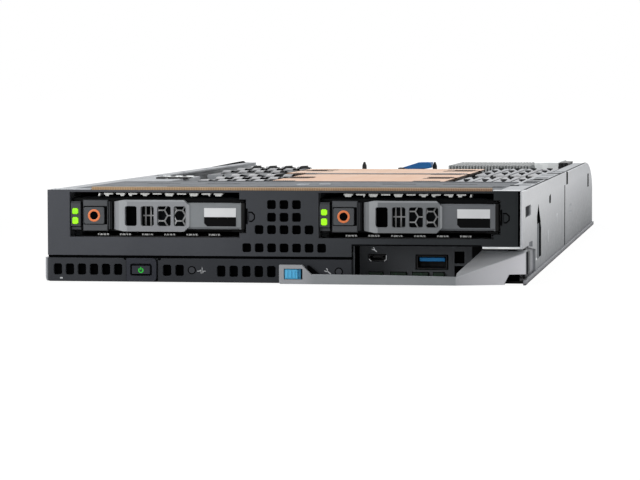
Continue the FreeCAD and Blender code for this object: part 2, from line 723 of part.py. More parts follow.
def carrier(centre):
    """Drive carrier: front block, two rails, light boss, button bracket and hinge ears."""
    left = centre - RAIL_OUT
    right = centre + RAIL_OUT
    rail_left = centre - RAIL_IN
    rail_right = centre + RAIL_IN
    frame = prism("plan", [
        (left, CARRIER_FRONT), (right, CARRIER_FRONT), (right, CARRIER_REAR), (rail_right, CARRIER_REAR),
        (rail_right, CARRIER_BACK), (rail_left, CARRIER_BACK), (rail_left, CARRIER_REAR),
        (left, CARRIER_REAR)], CARRIER_LOW, CARRIER_HIGH)
    boss = prism("front", box(left, left + 4.3, 24.2, 34.2), CARRIER_FRONT - 2.7, CARRIER_FRONT)
    bracket = prism("front", centred(centre - 26.3, 28.85, 11.0, 13.5), CARRIER_FRONT - 2.1, CARRIER_FRONT)
    ear_heights = ((CARRIER_LOW, PIN_SEAT), (KNUCKLE_HIGH + 0.3, EAR_TOP))
    ear_left = centre + 34.5
    ear_right = centre + HINGE_U + 1.4
    ear_front = HINGE_Y - 1.3
    ear_plan = [(ear_left, ear_front), (ear_right - 0.8, ear_front), (ear_right, ear_front + 0.8),
                (ear_right, CARRIER_FRONT), (ear_left, CARRIER_FRONT)]
    ears = [prism("plan", ear_plan, low, high) for low, high in ear_heights]
    whole = joined(frame, boss, bracket, *ears)
    behind = CARRIER_BACK + SHEET
    air_hole = centred(centre + MESH_U, MESH_Z, MESH_WIDE - 2, MESH_TALL - 1.8)
    cuts = [
        prism("front", centred(centre + BUTTON_U, BUTTON_Z, BUTTON_WIDE + 0.7, BUTTON_TALL + 0.7),
              CARRIER_FRONT - 4, CARRIER_BACK - 1.2),
        prism("front", air_hole, CARRIER_FRONT - 1, behind),
        prism("front", centred(centre + MESH_U, MESH_Z, MESH_WIDE, MESH_TALL), MESH_Y, behind),
        rod("plan", centre + HINGE_U, HINGE_Y, HINGE_PIN, PIN_SEAT, TOP)]
    for low, high in light_heights():
        light = box(centre + LIGHT_LEFT, centre + LIGHT_RIGHT, low, high)
        cuts.append(prism("front", light, CARRIER_FRONT - 4, behind))
    for y in (-228.0, -186.0):
        cuts.append(prism("side", centred(y, 29.2, 24.0, 6.0), left - 1, right + 1))
    return whole.cut(cuts)


def light_heights():
    """Bottom and top of the two lights in a carrier's boss."""
    return ((25.1, 28.1), (29.4, 32.0))


def light_pipes(centre):
    """Two clear guides that show the drive's state."""
    front = CARRIER_FRONT - 3.0
    return [prism("front", box(centre + LIGHT_LEFT, centre + LIGHT_RIGHT, low, high), front, CARRIER_BACK)
            for low, high in light_heights()]


def handle_windows(centre):
    """Four upright air windows through the handle."""
    low = 24.4
    high = 33.0
    spans = ((-12.9, -7.6), (-5.8, 0.0), (1.5, 7.5), (8.8, 14.1))
    holes = [clipped(box(centre + start, centre + end, low, high), 0.6) for start, end in spans]
    return [prism("front", hole, HANDLE_FRONT - 1, HANDLE_BACK + 2) for hole in holes]


def drive_handle(centre):
    """Swinging handle: raised window frame, recessed plate and the hinge knuckle."""
    left = centre - 18.3
    frame_right = centre + 16.0
    bow_x = centre - 12.0
    chamfer = 2.7
    plan = prism("plan", [
        (left, HANDLE_BACK + 0.7), (left + 1.0, HANDLE_BACK - 0.9), (bow_x - 1.6, HANDLE_FRONT + 0.4),
        (bow_x, HANDLE_FRONT), (frame_right - 1.0, HANDLE_FRONT), (frame_right, HANDLE_FRONT + 1.0),
        (frame_right, HANDLE_BACK), (bow_x + 1.0, HANDLE_BACK), (left + 2.4, HANDLE_BACK + 0.7)],
        HANDLE_LOW, HANDLE_HIGH)
    face = prism("front", [
        (left - 1, HANDLE_LOW + 1.0), (bow_x - 1.5, HANDLE_LOW), (frame_right - chamfer, HANDLE_LOW),
        (frame_right, HANDLE_LOW + chamfer), (frame_right, HANDLE_HIGH - chamfer),
        (frame_right - chamfer, HANDLE_HIGH), (bow_x - 1.5, HANDLE_HIGH), (left - 1, HANDLE_HIGH - 1.0)],
        HANDLE_FRONT - 2, HANDLE_BACK + 2)
    frame = plan.common(face).cut(handle_windows(centre))
    plate_front = HANDLE_FRONT + 1.0
    slope = 0.9
    edge = plate_front + slope
    plate = prism("side", [
        (HANDLE_BACK, KNUCKLE_LOW), (HANDLE_BACK, KNUCKLE_HIGH), (edge, KNUCKLE_HIGH),
        (plate_front, KNUCKLE_HIGH - slope), (plate_front, KNUCKLE_LOW + slope), (edge, KNUCKLE_LOW)],
        frame_right - 1.2, centre + HINGE_U)
    barrel = regular(centre + HINGE_U, HINGE_Y, KNUCKLE_RADIUS, 12)
    knuckle = prism("plan", barrel, KNUCKLE_LOW, KNUCKLE_HIGH)
    bore = rod("plan", centre + HINGE_U, HINGE_Y, HINGE_PIN + RUNNING, 0, TOP)
    return joined(frame, plate, knuckle).cut(bore)


def hinge_pin(centre):
    """Steel pin on the carrier's lower ear, through the handle's knuckle and the upper ear."""
    return rod("plan", centre + HINGE_U, HINGE_Y, HINGE_PIN, PIN_SEAT, EAR_TOP)


def release_button(centre):
    """Square push button with a dished middle."""
    u = centre + BUTTON_U
    front = CARRIER_FRONT - 3.0
    face = clipped(centred(u, BUTTON_Z, BUTTON_WIDE, BUTTON_TALL), 0.4)
    body = prism("front", face, front, CARRIER_FRONT + 1.5)
    dish = prism("front", regular(u, BUTTON_Z, 1.8, 12), front - 1, front + 0.4)
    return body.cut(dish)


def hexagon(u, v, across):
    """Corners of a hexagon with a level top and bottom side."""
    reach = across / math.sqrt(3)
    turns = [math.radians(60 * corner) for corner in range(6)]
    return [(u + reach * math.cos(turn), v + reach * math.sin(turn)) for turn in turns]


def vent_mesh(centre):
    """Perforated honeycomb plate behind the handle's windows, with a ladder at its left end."""
    pitch = 4.63
    across = 4.05
    column_step = pitch * math.sqrt(3) / 2
    first_u = 2.1
    rung = 0.3
    border = 0.8
    ladder = ((-6.4, -5.2), (-4.6, -2.9))
    ladder_end = -2.3
    plate = prism("front", centred(centre + MESH_U, MESH_Z, MESH_WIDE, MESH_TALL), MESH_Y, MESH_Y + 0.5)
    before = MESH_Y - 1
    behind = MESH_Y + 2
    low = MESH_Z - MESH_TALL / 2 + border
    high = MESH_Z + MESH_TALL / 2 - border
    cuts = []
    for start, end in ladder:
        for bottom, top in ((low, MESH_Z - rung), (MESH_Z + rung, high)):
            cuts.append(prism("front", box(centre + start, centre + end, bottom, top), before, behind))
    for column in range(4):
        heights = (-pitch, 0, pitch) if column % 2 == 0 else (-pitch / 2, pitch / 2)
        for height in heights:
            u = centre + first_u + column * column_step
            cuts.append(prism("front", hexagon(u, MESH_Z + height, across), before, behind))
    end_u = first_u - column_step
    for height in (-pitch / 2, pitch / 2):
        cuts.append(prism("front", hexagon(centre + end_u, MESH_Z + height, across), before, behind).common(
            prism("front", box(centre + ladder_end, centre + first_u, low, high), before, behind)))
    inside = centred(centre + MESH_U, MESH_Z, MESH_WIDE - border, MESH_TALL - border)
    frame = prism("front", inside, before, behind)
    return plate.cut([cut.common(frame) for cut in cuts])


def drive_disk(centre):
    """Sealed 2.5 inch drive with a recess for its rear connector."""
    half = DISK_WIDE / 2
    front = DISK_REAR - DISK_LONG
    top = DISK_LOW + DISK_TALL
    body = prism("plan", clipped(box(centre - half, centre + half, front, DISK_REAR), 1.2), DISK_LOW, top)
    groove = []
    for inset in (3.0, 5.0):
        edge = box(centre - half + inset, centre + half - inset, front + inset, DISK_REAR - inset - 9)
        groove.append(prism("plan", clipped(edge, 2.5), top - 0.6, top + 1))
    socket = prism("front", centred(centre, 27.5, 34.0, 7.2), DISK_REAR - 5.0, DISK_REAR + 1)
    return body.cut([groove[0].cut(groove[1]), socket])


def drive_backplane():
    """Upright board behind the cage with air openings above and below the drive connectors."""
    rear = CAGE_REAR + 1.6
    board = prism("front", clipped(box(CAGE_LEFT, CAGE_RIGHT, 8.0, TOP - 0.4), 1.0), CAGE_REAR, rear)
    cuts = []
    for centre in BAY_CENTRES:
        for u in (-27.0, 27.0):
            cuts.append(prism("front", centred(centre + u, 29.0, 13.0, 12.0), CAGE_REAR - 1, rear + 1))
    cuts.append(prism("front", centred(-1.3, 26.0, 24.0, 20.0), CAGE_REAR - 1, rear + 1))
    return board.cut(cuts)


def backplane_connectors():
    """One drive connector for each bay, reaching into the drive's recess."""
    blocks = []
    for centre in BAY_CENTRES:
        base = prism("front", centred(centre, 27.5, 40.0, 9.0), DISK_REAR + 0.6, CAGE_REAR)
        nose = prism("front", centred(centre, 27.5, 33.0, 6.2), DISK_REAR - 3.6, DISK_REAR + 0.6)
        key = prism("front", centred(centre + 4.0, 28.6, 1.6, 5.0), DISK_REAR - 4, DISK_REAR - 0.2)
        blocks.append(joined(base, nose).cut(key))
    return blocks


# System board and cooling

def system_board():
    """Main board with clipped front corners."""
    clip = 6.0
    return prism("plan", [
        (-BOARD_HALF + clip, BOARD_FRONT), (BOARD_HALF - clip, BOARD_FRONT), (BOARD_HALF, BOARD_FRONT + clip),
        (BOARD_HALF, BOARD_REAR), (-BOARD_HALF, BOARD_REAR), (-BOARD_HALF, BOARD_FRONT + clip)],
        BOARD_LOW, BOARD_HIGH)


def processor_sockets():
    """Open socket frames with a stepped rim."""
    frames = []
    for y in PROCESSOR_Y:
        frame = prism("plan", clipped(centred(CORE_X, y, 60.0, 82.0), 3.0), BOARD_HIGH, 11.0)
        seat = prism("plan", centred(CORE_X, y, 52.6, 72.6), 8.0, 12.0)
        window = prism("plan", centred(CORE_X, y, 24.0, 30.0), BOARD_HIGH - 1, 9.0)
        frames.append(frame.cut([seat, window]))
    return frames


def processors():
    """Processor packages: substrate and raised metal lid."""
    packages = []
    for y in PROCESSOR_Y:
        substrate = prism("plan", centred(CORE_X, y, 52.0, 72.0), 8.0, 10.0)
        lid = prism("plan", clipped(centred(CORE_X, y, 46.0, 60.0), 2.0), 10.0, SINK_LOW)
        packages.append(joined(substrate, lid))
    return packages


def comb(left, right, low, root, top, pitch, thick):
    """Outline of a finned block: a base with evenly spaced upright fins."""
    count = int((right - left - thick) / pitch) + 1
    spread = (count - 1) * pitch + thick
    first = (left + right - spread) / 2
    corners = [(left, low), (right, low), (right, root)]
    for index in reversed(range(count)):
        start = first + index * pitch
        corners.extend([(start + thick, root), (start + thick, top), (start, top), (start, root)])
    corners.append((left, root))
    return corners


def sink_notches(sides, screws_y, low, high):
    """Side notches that leave room for the driver at each heatsink screw."""
    notches = []
    reach = 14.0
    half = 5.5
    for y in screws_y:
        for start, end in ((sides[0] - 1, sides[0] + reach), (sides[1] - reach, sides[1] + 1)):
            notches.append(prism("plan", box(start, end, y - half, y + half), low, high))
    return notches


def heatsink(sides, span, screws_y):
    """Finned block with its notches, fins along the air flow."""
    corners = comb(sides[0], sides[1], SINK_LOW, SINK_BASE_TOP, SINK_TOP, FIN_PITCH, FIN_THICK)
    block = prism("front", corners, span[0], span[1])
    return block.cut(sink_notches(sides, screws_y, SINK_BASE_TOP, SINK_TOP + 1))


def heatsink_plate(sides, span, screws_y):
    """Thin cover plate over the fin tips with the same notches."""
    sheet = clipped(box(sides[0], sides[1], span[0], span[1]), 1.0)
    plate = prism("plan", sheet, SINK_TOP, SINK_PLATE_TOP)
    return plate.cut(sink_notches(sides, screws_y, SINK_TOP - 1, SINK_PLATE_TOP + 1))


def heatsink_screws():
    """Captive hexagon screws on the heatsink bases."""
    screws = []
    radius = 3.2
    high = SINK_BASE_TOP + 8.0
    for sides, screws_y in zip(SINK_SIDES, SINK_SCREWS_Y):
        for y in screws_y:
            for x in (sides[0] + SINK_SCREW_IN, sides[1] - SINK_SCREW_IN):
                screws.append(prism("plan", regular(x, y, radius, 6), SINK_BASE_TOP, high))
    return screws


# Memory

def memory_columns(front):
    """Column middles on both sides of the processor that belongs to one set."""
    shift = MEMORY_LEFT_SHIFT[MEMORY_SETS.index(front)]
    left = [CORE_X - MEMORY_FIRST - MEMORY_PITCH * (index + shift) for index in range(MEMORY_COLUMNS)]
    right = [CORE_X + MEMORY_FIRST + MEMORY_PITCH * index for index in range(MEMORY_COLUMNS)]
    return left + right


def memory_socket(x, front):
    """Long socket: low body, a tower at each end and slots for the card and the latches."""
    rear = front + MEMORY_LONG
    low = BOARD_HIGH
    tower = 19.0
    shape = prism("side", [
        (front, low), (rear, low), (rear, tower), (rear - TOWER_LONG, tower), (rear - TOWER_LONG, SOCKET_TOP),
        (front + TOWER_LONG, SOCKET_TOP), (front + TOWER_LONG, tower), (front, tower)],
        x - MEMORY_WIDE / 2, x + MEMORY_WIDE / 2)
    slot_half = 0.9
    slot_plan = box(x - slot_half, x + slot_half, front + TOWER_LONG, rear - TOWER_LONG)
    slot = prism("plan", slot_plan, SLOT_FLOOR, SOCKET_TOP + 1)
    latch_room = 1.9
    cuts = [slot]
    for start in (front - 1, rear - TOWER_LONG):
        room = box(x - latch_room, x + latch_room, start, start + TOWER_LONG + 1)
        cuts.append(prism("plan", room, SLOT_FLOOR, tower + 1))
    return shape.cut(cuts)


def memory_blank(x, front):
    """Air blank: a card standing in the socket under a deep top rail with slanted three-cornered pockets."""
    start = front + TOWER_LONG + 0.6
    end = front + MEMORY_LONG - TOWER_LONG - 0.6
    half_card = 0.7
    half_rail = 4.2
    rail_low = BLANK_TOP - 8.0
    pocket_floor = BLANK_TOP - 5.0
    blank = prism("front", [
        (x - half_card, SLOT_FLOOR), (x + half_card, SLOT_FLOOR), (x + half_card, rail_low),
        (x + half_rail, rail_low), (x + half_rail, BLANK_TOP), (x - half_rail, BLANK_TOP),
        (x - half_rail, rail_low), (x - half_card, rail_low)], start, end)
    pockets = 3
    pitch = (end - start) / pockets
    bar = 5.5
    cuts = []
    for index in range(pockets):
        tip_y = start + index * pitch + bar / 2
        base_y = tip_y + pitch - bar
        pocket = [(x + 1.9, tip_y), (x + 0.8, base_y), (x - 2.9, base_y)]
        cuts.append(prism("plan", pocket, pocket_floor, BLANK_TOP + 1))
    return blank.cut(cuts)


def memory_latch(x, pivot_y, outward):
    """Ejector latch: knife-edge foot at its pivot, tall arm, hook towards the card and a thumb pad."""
    half = 1.6
    top = 29.0
    foot = [(-LATCH_FOOT, LATCH_PIVOT_Z), (0, LATCH_PIVOT_Z - LATCH_FOOT), (LATCH_FOOT, LATCH_PIVOT_Z)]
    arm = [(1.5, top - 3), (3.0, top), (-1.2, top), (-1.2, 21.0), (-1.5, 20.0)]
    return prism("side", [(pivot_y + outward * step, z) for step, z in foot + arm], x - half, x + half)


def memory_latches(front, at_front):
    """All latches on one line across the sled: they share one pivot axis."""
    pivot_y = latch_pivot_y(front, at_front)
    outward = -1 if at_front else 1
    return [memory_latch(x, pivot_y, outward) for x in memory_columns(front)]


def latch_pivot_y(front, at_front):
    """Depth of a latch row's pivot, inside the socket's end tower."""
    inset = 3.2
    return front + inset if at_front else front + MEMORY_LONG - inset


def side_baffle():
    """Folded baffle beside the left memory: top plate and a leg down to the board."""
    outer = -96.3
    inner = -75.0
    front = -138.0
    rear = -72.0
    top = prism("plan", box(outer, inner, CAGE_REAR + 2.5, rear), TOP - SHEET, TOP)
    leg = prism("plan", box(inner - SHEET, inner, front, rear), BOARD_HIGH, TOP - SHEET)
    return joined(top, leg)


# Rear cards and connectors

def mezzanine_card():
    """Network card above the system board."""
    return prism("plan", clipped(box(18.0, 97.0, 151.0, 249.0), 2.0), CARD_LOW, CARD_HIGH)


def mezzanine_heatsink():
    """Finned cooler on the network card."""
    base_top = CARD_HIGH + 3.0
    fin_top = 39.4
    fin_pitch = 3.6
    fin_thick = 0.8
    corners = comb(24.0, 75.0, CARD_HIGH, base_top, fin_top, fin_pitch, fin_thick)
    return prism("front", corners, 156.0, 235.0)


def mezzanine_bracket():
    """Folded sheet box beside the cooler, open at the rear and below."""
    left = 76.0
    right = 90.0
    front = 158.0
    rear = 226.0
    high = 41.2
    skin = 0.8
    outer = prism("plan", box(left, right, front, rear), CARD_HIGH, high)
    inner = prism("plan", box(left + skin, right - skin, front + skin, rear + 1), CARD_HIGH - 1, high - skin)
    return outer.cut(inner)


def mezzanine_connectors():
    """Stacking connector under the network card and the ribbed header on top of it."""
    stack = prism("plan", box(30.0, 74.0, 206.0, 213.0), BOARD_HIGH, CARD_LOW)
    left = 90.3
    header = prism("plan", box(left, 95.6, 158.0, 200.0), CARD_HIGH, 41.0)
    grooves = [prism("plan", box(start, start + 0.8, 157.0, 160.0), 22.0, TOP + 2)
               for start in (left + 1.3, left + 3.5)]
    return stack, header.cut(grooves)


def rear_connectors():
    """Board connectors for the chassis, with upright contact slots in their rear faces."""
    blocks = []
    for middle, wide, high, low in connector_blocks():
        body = prism("plan", box(middle - wide / 2, middle + wide / 2, 236.0, REAR_Y), low, high)
        slot_pitch = 7.5
        count = int((wide - 4) / slot_pitch)
        first = middle - (count - 1) * slot_pitch / 2
        slots = [prism("front", centred(first + index * slot_pitch, (low + high) / 2, 1.6, high - low - 3),
                       REAR_Y - 6.0, REAR_Y + 1) for index in range(count)]
        blocks.append(body.cut(slots))
    return blocks


def guide_sockets():
    """Guide bushes for the chassis pins, on the rear panel."""
    bushes = []
    for x in GUIDE_X:
        body = prism("front", clipped(centred(x, GUIDE_Z, 13.0, 13.0), 1.5), REAR_PANEL_Y + SHEET, REAR_Y)
        bore = rod("front", x, GUIDE_Z, GUIDE_RADIUS, REAR_PANEL_Y, REAR_Y + 1)
        bushes.append(body.cut(bore))
    return bushes


def latch_frame():
    """Card retainer: two pointed posts, a crossbar, hinge ears and the latch's pin."""
    posts = (-30.5, 12.5)
    half = 1.2
    foot_half = 2.4
    foot_top = BOARD_HIGH + 3.0
    tip = 0.4
    shoulder = 38.0
    point = 40.3
    bar_low = 30.0
    bar_high = 33.0
    pieces = []
    for x in posts:
        post = [(x - foot_half, BOARD_HIGH), (x + foot_half, BOARD_HIGH), (x + foot_half, foot_top),
                (x + half, foot_top), (x + half, shoulder), (x + tip, point), (x - tip, point),
                (x - half, shoulder), (x - half, foot_top), (x - foot_half, foot_top)]
        pieces.append(prism("front", post, LATCH_Y - half, LATCH_Y + half))
    bar = prism("plan", box(posts[0], posts[1], LATCH_Y - 1.0, LATCH_Y + 1.0), bar_low, bar_high)
    foot = prism("plan", box(LATCH_X - 1.9, LATCH_X + 1.9, LATCH_Y - 4.0, LATCH_Y + 4.0), bar_low, bar_high)
    for start in (LATCH_Y - 4.0, LATCH_Y + 2.6):
        ear = box(LATCH_X - 1.9, LATCH_X + 1.9, bar_high, LATCH_Z + 1.7)
        pieces.append(prism("front", ear, start, start + 1.4))
    pieces.append(rod("front", LATCH_X, LATCH_Z, 0.8, LATCH_Y - 4.0, LATCH_Y + 4.0))
    return joined(bar, foot, *pieces)


def card_latch():
    """Thumb lever that locks the card: knuckle, rising arm and a broad flat grip."""
    knuckle = prism("front", regular(LATCH_X, LATCH_Z, 1.6, 12), LATCH_Y - 2.2, LATCH_Y + 2.2)
    end = [(10.2, 36.7), (10.8, 37.3), (10.6, 40.2), (3.2, 40.2)]
    arm_outline = [(LATCH_X, LATCH_Z - 1.2)] + end + [(LATCH_X - 0.4, LATCH_Z + 1.5)]
    grip_outline = [(-3.6, 36.3)] + end + [(-3.2, 37.6)]
    arm = prism("front", arm_outline, LATCH_Y - 2.2, LATCH_Y + 2.2)
    grip = prism("front", grip_outline, LATCH_Y - 7.0, LATCH_Y + 7.0)
    bore = rod("front", LATCH_X, LATCH_Z, 0.8 + RUNNING, LATCH_Y - 9, LATCH_Y + 9)
    return joined(knuckle, arm, grip).cut(bore)


os.makedirs("parts", exist_ok=True)

save("base_pan", base_pan())
save("left_wall", left_wall())
save("right_wall_front", right_wall_front())
save("right_wall_rear", right_wall_rear())
save("rear_panel", rear_panel())
save("front_panel", front_panel())
save("drive_cage", drive_cage())
save("emi_fingers", *emi_fingers())
save("emi_gasket", emi_gasket())
save("lower_bezel", lower_bezel())
save("power_surround", power_surround())
save("power_button", power_button())
save("status_lights", *status_lights())
save("io_panel", io_panel())
save("control_board", *control_board())
save("port_shells", *port_shells())
save("usb_tongue", usb_tongue())
save("lever_pin", lever_pin())
save("release_lever", release_lever())
save("lever_latch", lever_latch())

for side, bay in zip(("left", "right"), BAY_CENTRES):
    save(side + "_drive_carrier", carrier(bay))
    save(side + "_drive_handle", drive_handle(bay))
    save(side + "_drive_hinge_pin", hinge_pin(bay))
    save(side + "_drive_button", release_button(bay))
    save(side + "_drive_lights", *light_pipes(bay))
    save(side + "_drive_mesh", vent_mesh(bay))
    save(side + "_drive_disk", drive_disk(bay))

save("drive_backplane", drive_backplane())
save("backplane_connectors", *backplane_connectors())
save("system_board", system_board())
save("processor_sockets", *processor_sockets())
save("processors", *processors())
for place, sides, span, screws in zip(("front", "rear"), SINK_SIDES, SINK_SPANS, SINK_SCREWS_Y):
    save(place + "_heatsink", heatsink(sides, span, screws))
    save(place + "_heatsink_plate", heatsink_plate(sides, span, screws))
save("heatsink_screws", *heatsink_screws())

save("memory_sockets", *[memory_socket(x, front) for front in MEMORY_SETS for x in memory_columns(front)])
save("memory_blanks", *[memory_blank(x, front) for front in MEMORY_SETS for x in memory_columns(front)])
for place, front in zip(("front", "rear"), MEMORY_SETS):
    save(place + "_memory_latches_fore", *memory_latches(front, True))
    save(place + "_memory_latches_aft", *memory_latches(front, False))
save("side_baffle", side_baffle())

save("mezzanine_card", mezzanine_card())
save("mezzanine_heatsink", mezzanine_heatsink())
save("mezzanine_bracket", mezzanine_bracket())
save("mezzanine_connectors", *mezzanine_connectors())
save("rear_connectors", *rear_connectors())
save("guide_sockets", *guide_sockets())
save("latch_frame", latch_frame())
save("card_latch", card_latch())
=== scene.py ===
import math

import bmesh
import bpy
from mathutils import Matrix, Vector


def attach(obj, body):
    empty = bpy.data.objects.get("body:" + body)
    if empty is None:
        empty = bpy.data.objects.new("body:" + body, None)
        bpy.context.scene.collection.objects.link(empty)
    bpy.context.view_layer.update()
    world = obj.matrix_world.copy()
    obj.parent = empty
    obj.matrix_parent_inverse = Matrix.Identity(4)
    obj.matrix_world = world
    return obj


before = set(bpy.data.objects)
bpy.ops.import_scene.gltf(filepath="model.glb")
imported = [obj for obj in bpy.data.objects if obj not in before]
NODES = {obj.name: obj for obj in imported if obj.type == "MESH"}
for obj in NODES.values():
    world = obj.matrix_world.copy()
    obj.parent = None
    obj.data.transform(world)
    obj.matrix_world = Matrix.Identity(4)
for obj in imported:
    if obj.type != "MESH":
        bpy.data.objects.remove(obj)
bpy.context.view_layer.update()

# Half-width server sled: finishes, small trim, lights and camera.
# Lengths below are in millimetres and are turned to metres where a mesh is made.
MM = 0.001
WHITE = (1.0, 1.0, 1.0, 1.0)

# Edges and round parts
TRIM_EDGE_ANGLE = 35
NODE_EDGE_ANGLE = 28
SMOOTH_ANGLE = 40
SHEET_EDGE = 0.18
MOULDING_EDGE = 0.16
LIGHT_EDGE = 0.45
TURNED_SIDES = 20
RING_SIDES = 28
MITRE_LIMIT = 0.4
WELD_REACH = 0.002
FLAT_ANGLE = 0.5

# Depths of surface textures, and the colour sockets of a mix node
GRAIN_DEPTH = 0.02
FROST_DEPTH = 0.012
LINE_DEPTH = 0.006
MIX_MASK = 0
MIX_FIRST = 6
MIX_SECOND = 7
MIX_RESULT = 2

# Places that the trim is set against
FRONT_Y = -262.5
REAR_Y = 262.5
PANEL_Y = -258.5
PANEL_TOP = 40.0
PANEL_RIGHT = 100.8
BEZEL_FRONT = -259.0
POWER_FRONT = -260.1
POWER_X = -61.85
POWER_Z = 5.45
STATUS_LIGHTS = ((-39.5, 5.4), (24.8, 5.3))
STATUS_RADIUS = 1.4
PORT_Y = -241.0
MICRO_X = 39.05
MICRO_Z = 10.3
USB_X = 62.85
USB_Z = 8.5
BAYS = {"left": -56.2, "right": 53.6}
CARRIER_FRONT = -255.5
LIGHT_FRONT = -258.5
LABEL_BACK = -258.3
BUTTON_FRONT = -258.5
BUTTON_U = -26.75
BUTTON_Z = 28.85
WALL_OUT = 103.75
WALL_IN = 102.55
WALL_INFILL_IN = WALL_IN + 0.1
BOARD_TOP = 5.6
CARD_TOP = 17.6
COOLER_TOP = 39.4
SINK_SIDES = ((-33.0, 53.0), (-46.0, 53.0))
SINK_SPANS = ((-136.0, 1.0), (3.0, 98.0))
SINK_SCREWS_Y = ((-115.0, -55.0), (8.0, 66.0))
SINK_SCREW_IN = 5.0
SINK_BASE_TOP = 17.0
SINK_TOP = 38.2
NOTCH_HALF = 5.6
REAR_LEFT_COLUMNS = (-58.1, -67.4, -76.7, -86.0)
FRONT_LEFT_COLUMNS = (-39.5, -48.8, -58.1, -67.4)
RIGHT_COLUMNS = (59.5, 68.8, 78.1, 87.4)
FIRST_POCKET_END = {"front": -94.55, "rear": 56.45}
POCKET_PITCH = 40.6
BLANK_TOP = 38.0
BLANK_END = 140.4
FINGER_FRONT = -257.6
TOP_FINGERS_LEFT = {"left": -78.6, "right": 26.8}
BOTTOM_FINGERS_LEFT = {"left": -81.5, "right": 27.6}


# Shapes: each is a closed shell of points and faces, or a list of shells

def at(plane, u, v, level):
    """Point on a drawing plane: front holds (x, z), plan holds (x, y), side holds (y, z)."""
    return Vector({"front": (u, level, v), "plan": (u, v, level), "side": (level, u, v)}[plane]) * MM


def box(u0, u1, v0, v1):
    """Corners of an upright rectangle."""
    return [(u0, v0), (u1, v0), (u1, v1), (u0, v1)]


def centred(u, v, wide, tall):
    """Corners of a rectangle about its middle."""
    return box(u - wide / 2, u + wide / 2, v - tall / 2, v + tall / 2)


def circle(u, v, radius, sides, start=0.0, turn=360.0):
    """Points on a circle or on part of one."""
    steps = sides if abs(turn) >= 360 else sides + 1
    angles = [math.radians(start + turn * index / sides) for index in range(steps)]
    return [(u + radius * math.cos(angle), v + radius * math.sin(angle)) for angle in angles]


def slab(plane, corners, start, end):
    """Straight-sided block carried from an outline on one level to another level."""
    count = len(corners)
    points = [at(plane, u, v, level) for level in (start, end) for u, v in corners]
    faces = [range(count), range(2 * count - 1, count - 1, -1)]
    for index in range(count):
        following = (index + 1) % count
        faces.append((index, index + count, following + count, following))
    return points, faces


def turned(plane, u, v, profile, sides=TURNED_SIDES, hollow=False):
    """Part turned about an axis square to the plane, from (radius, level) points; hollow makes a ring."""
    points = [at(plane, a, b, level) for radius, level in profile for a, b in circle(u, v, radius, sides)]
    loops = [range(first, first + sides) for first in range(0, len(points), sides)]
    faces = []
    for loop, following in zip(loops, loops[1:] + loops[:1] if hollow else loops[1:]):
        for side in range(sides):
            ahead = (side + 1) % sides
            faces.append((loop[side], loop[ahead], following[ahead], following[side]))
    return points, faces if hollow else faces + [loops[0][::-1], loops[-1]]


def ring(plane, u, v, profile):
    """Smooth turned ring from a closed profile."""
    return turned(plane, u, v, profile, RING_SIDES, True)


def stroke(plane, points, wide, start, end):
    """Printed line of even width along points, with mitred bends."""
    path = [Vector(point) for point in points]
    left = []
    right = []
    for index, point in enumerate(path):
        before = (point - path[index - 1]).normalized() if index else None
        after = (path[index + 1] - point).normalized() if index + 1 < len(path) else None
        along = ((before or after) + (after or before)).normalized()
        reach = Vector((-along.y, along.x)) * (wide / 2 / max(MITRE_LIMIT, along.dot(after or before)))
        left.append(tuple(point + reach))
        right.append(tuple(point - reach))
    return [slab(plane, [left[index], left[index + 1], right[index + 1], right[index]], start, end)
            for index in range(len(path) - 1)]


def corner_fillets(left, right, low, high, size, front, back):
    """Three-cornered fillets that round the corners of an opening in the front."""
    return [slab("front", [(x, z), (x + turn_x, z), (x, z + turn_z)], front, back)
            for x, turn_x in ((left, size), (right, -size)) for z, turn_z in ((low, size), (high, -size))]


def shells_in(parts):
    """All closed shells in a nested list."""
    if isinstance(parts, list):
        return [shell for part in parts for shell in shells_in(part)]
    return [parts]


def soft_edge(made, width, angle):
    """Small round on the edges that are sharper than the angle, so that they catch the light."""
    bevel = made.modifiers.new("soft edge", "BEVEL")
    bevel.width = width * MM
    bevel.segments = 2
    bevel.limit_method = "ANGLE"
    bevel.angle_limit = math.radians(angle)
    return bevel


def piece(name, parts, finish, edge=0.0, body="sled"):
    """Finished trim piece: closed mesh, softened edges, finish, and the body that carries it."""
    mesh = bmesh.new()
    for points, faces in shells_in(parts):
        corners = [mesh.verts.new(point) for point in points]
        for face in faces:
            mesh.faces.new([corners[index] for index in face])
    bmesh.ops.recalc_face_normals(mesh, faces=mesh.faces)
    data = bpy.data.meshes.new(name)
    mesh.to_mesh(data)
    mesh.free()
    data.materials.append(finish)
    made = bpy.data.objects.new(name, data)
    bpy.context.scene.collection.objects.link(made)
    if edge:
        soft_edge(made, edge, TRIM_EDGE_ANGLE)
    data.polygons.foreach_set("use_smooth", [True] * len(data.polygons))
    data.set_sharp_from_angle(angle=math.radians(SMOOTH_ANGLE))
    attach(made, body)


def sheet_trim(name, parts, finish, edge=0.0):
    """Sheet-metal trim piece on the tray."""
    piece(name, parts, finish, edge)


def carrier_trim(side, name, parts, finish, edge=0.0):
    """Trim piece that rides on one drive's carrier."""
    piece(side + "_" + name, parts, finish, edge, side + "_drive")


def soften(name, width):
    """Soft edges on a CAD sheet or moulding, over joined and flattened faces."""
    made = NODES[name]
    weld = made.modifiers.new("weld", "WELD")
    weld.merge_threshold = WELD_REACH * MM
    flat = made.modifiers.new("flat faces", "DECIMATE")
    flat.decimate_type = "DISSOLVE"
    flat.angle_limit = math.radians(FLAT_ANGLE)
    soft_edge(made, width, NODE_EDGE_ANGLE).harden_normals = True


# Shared surface effects

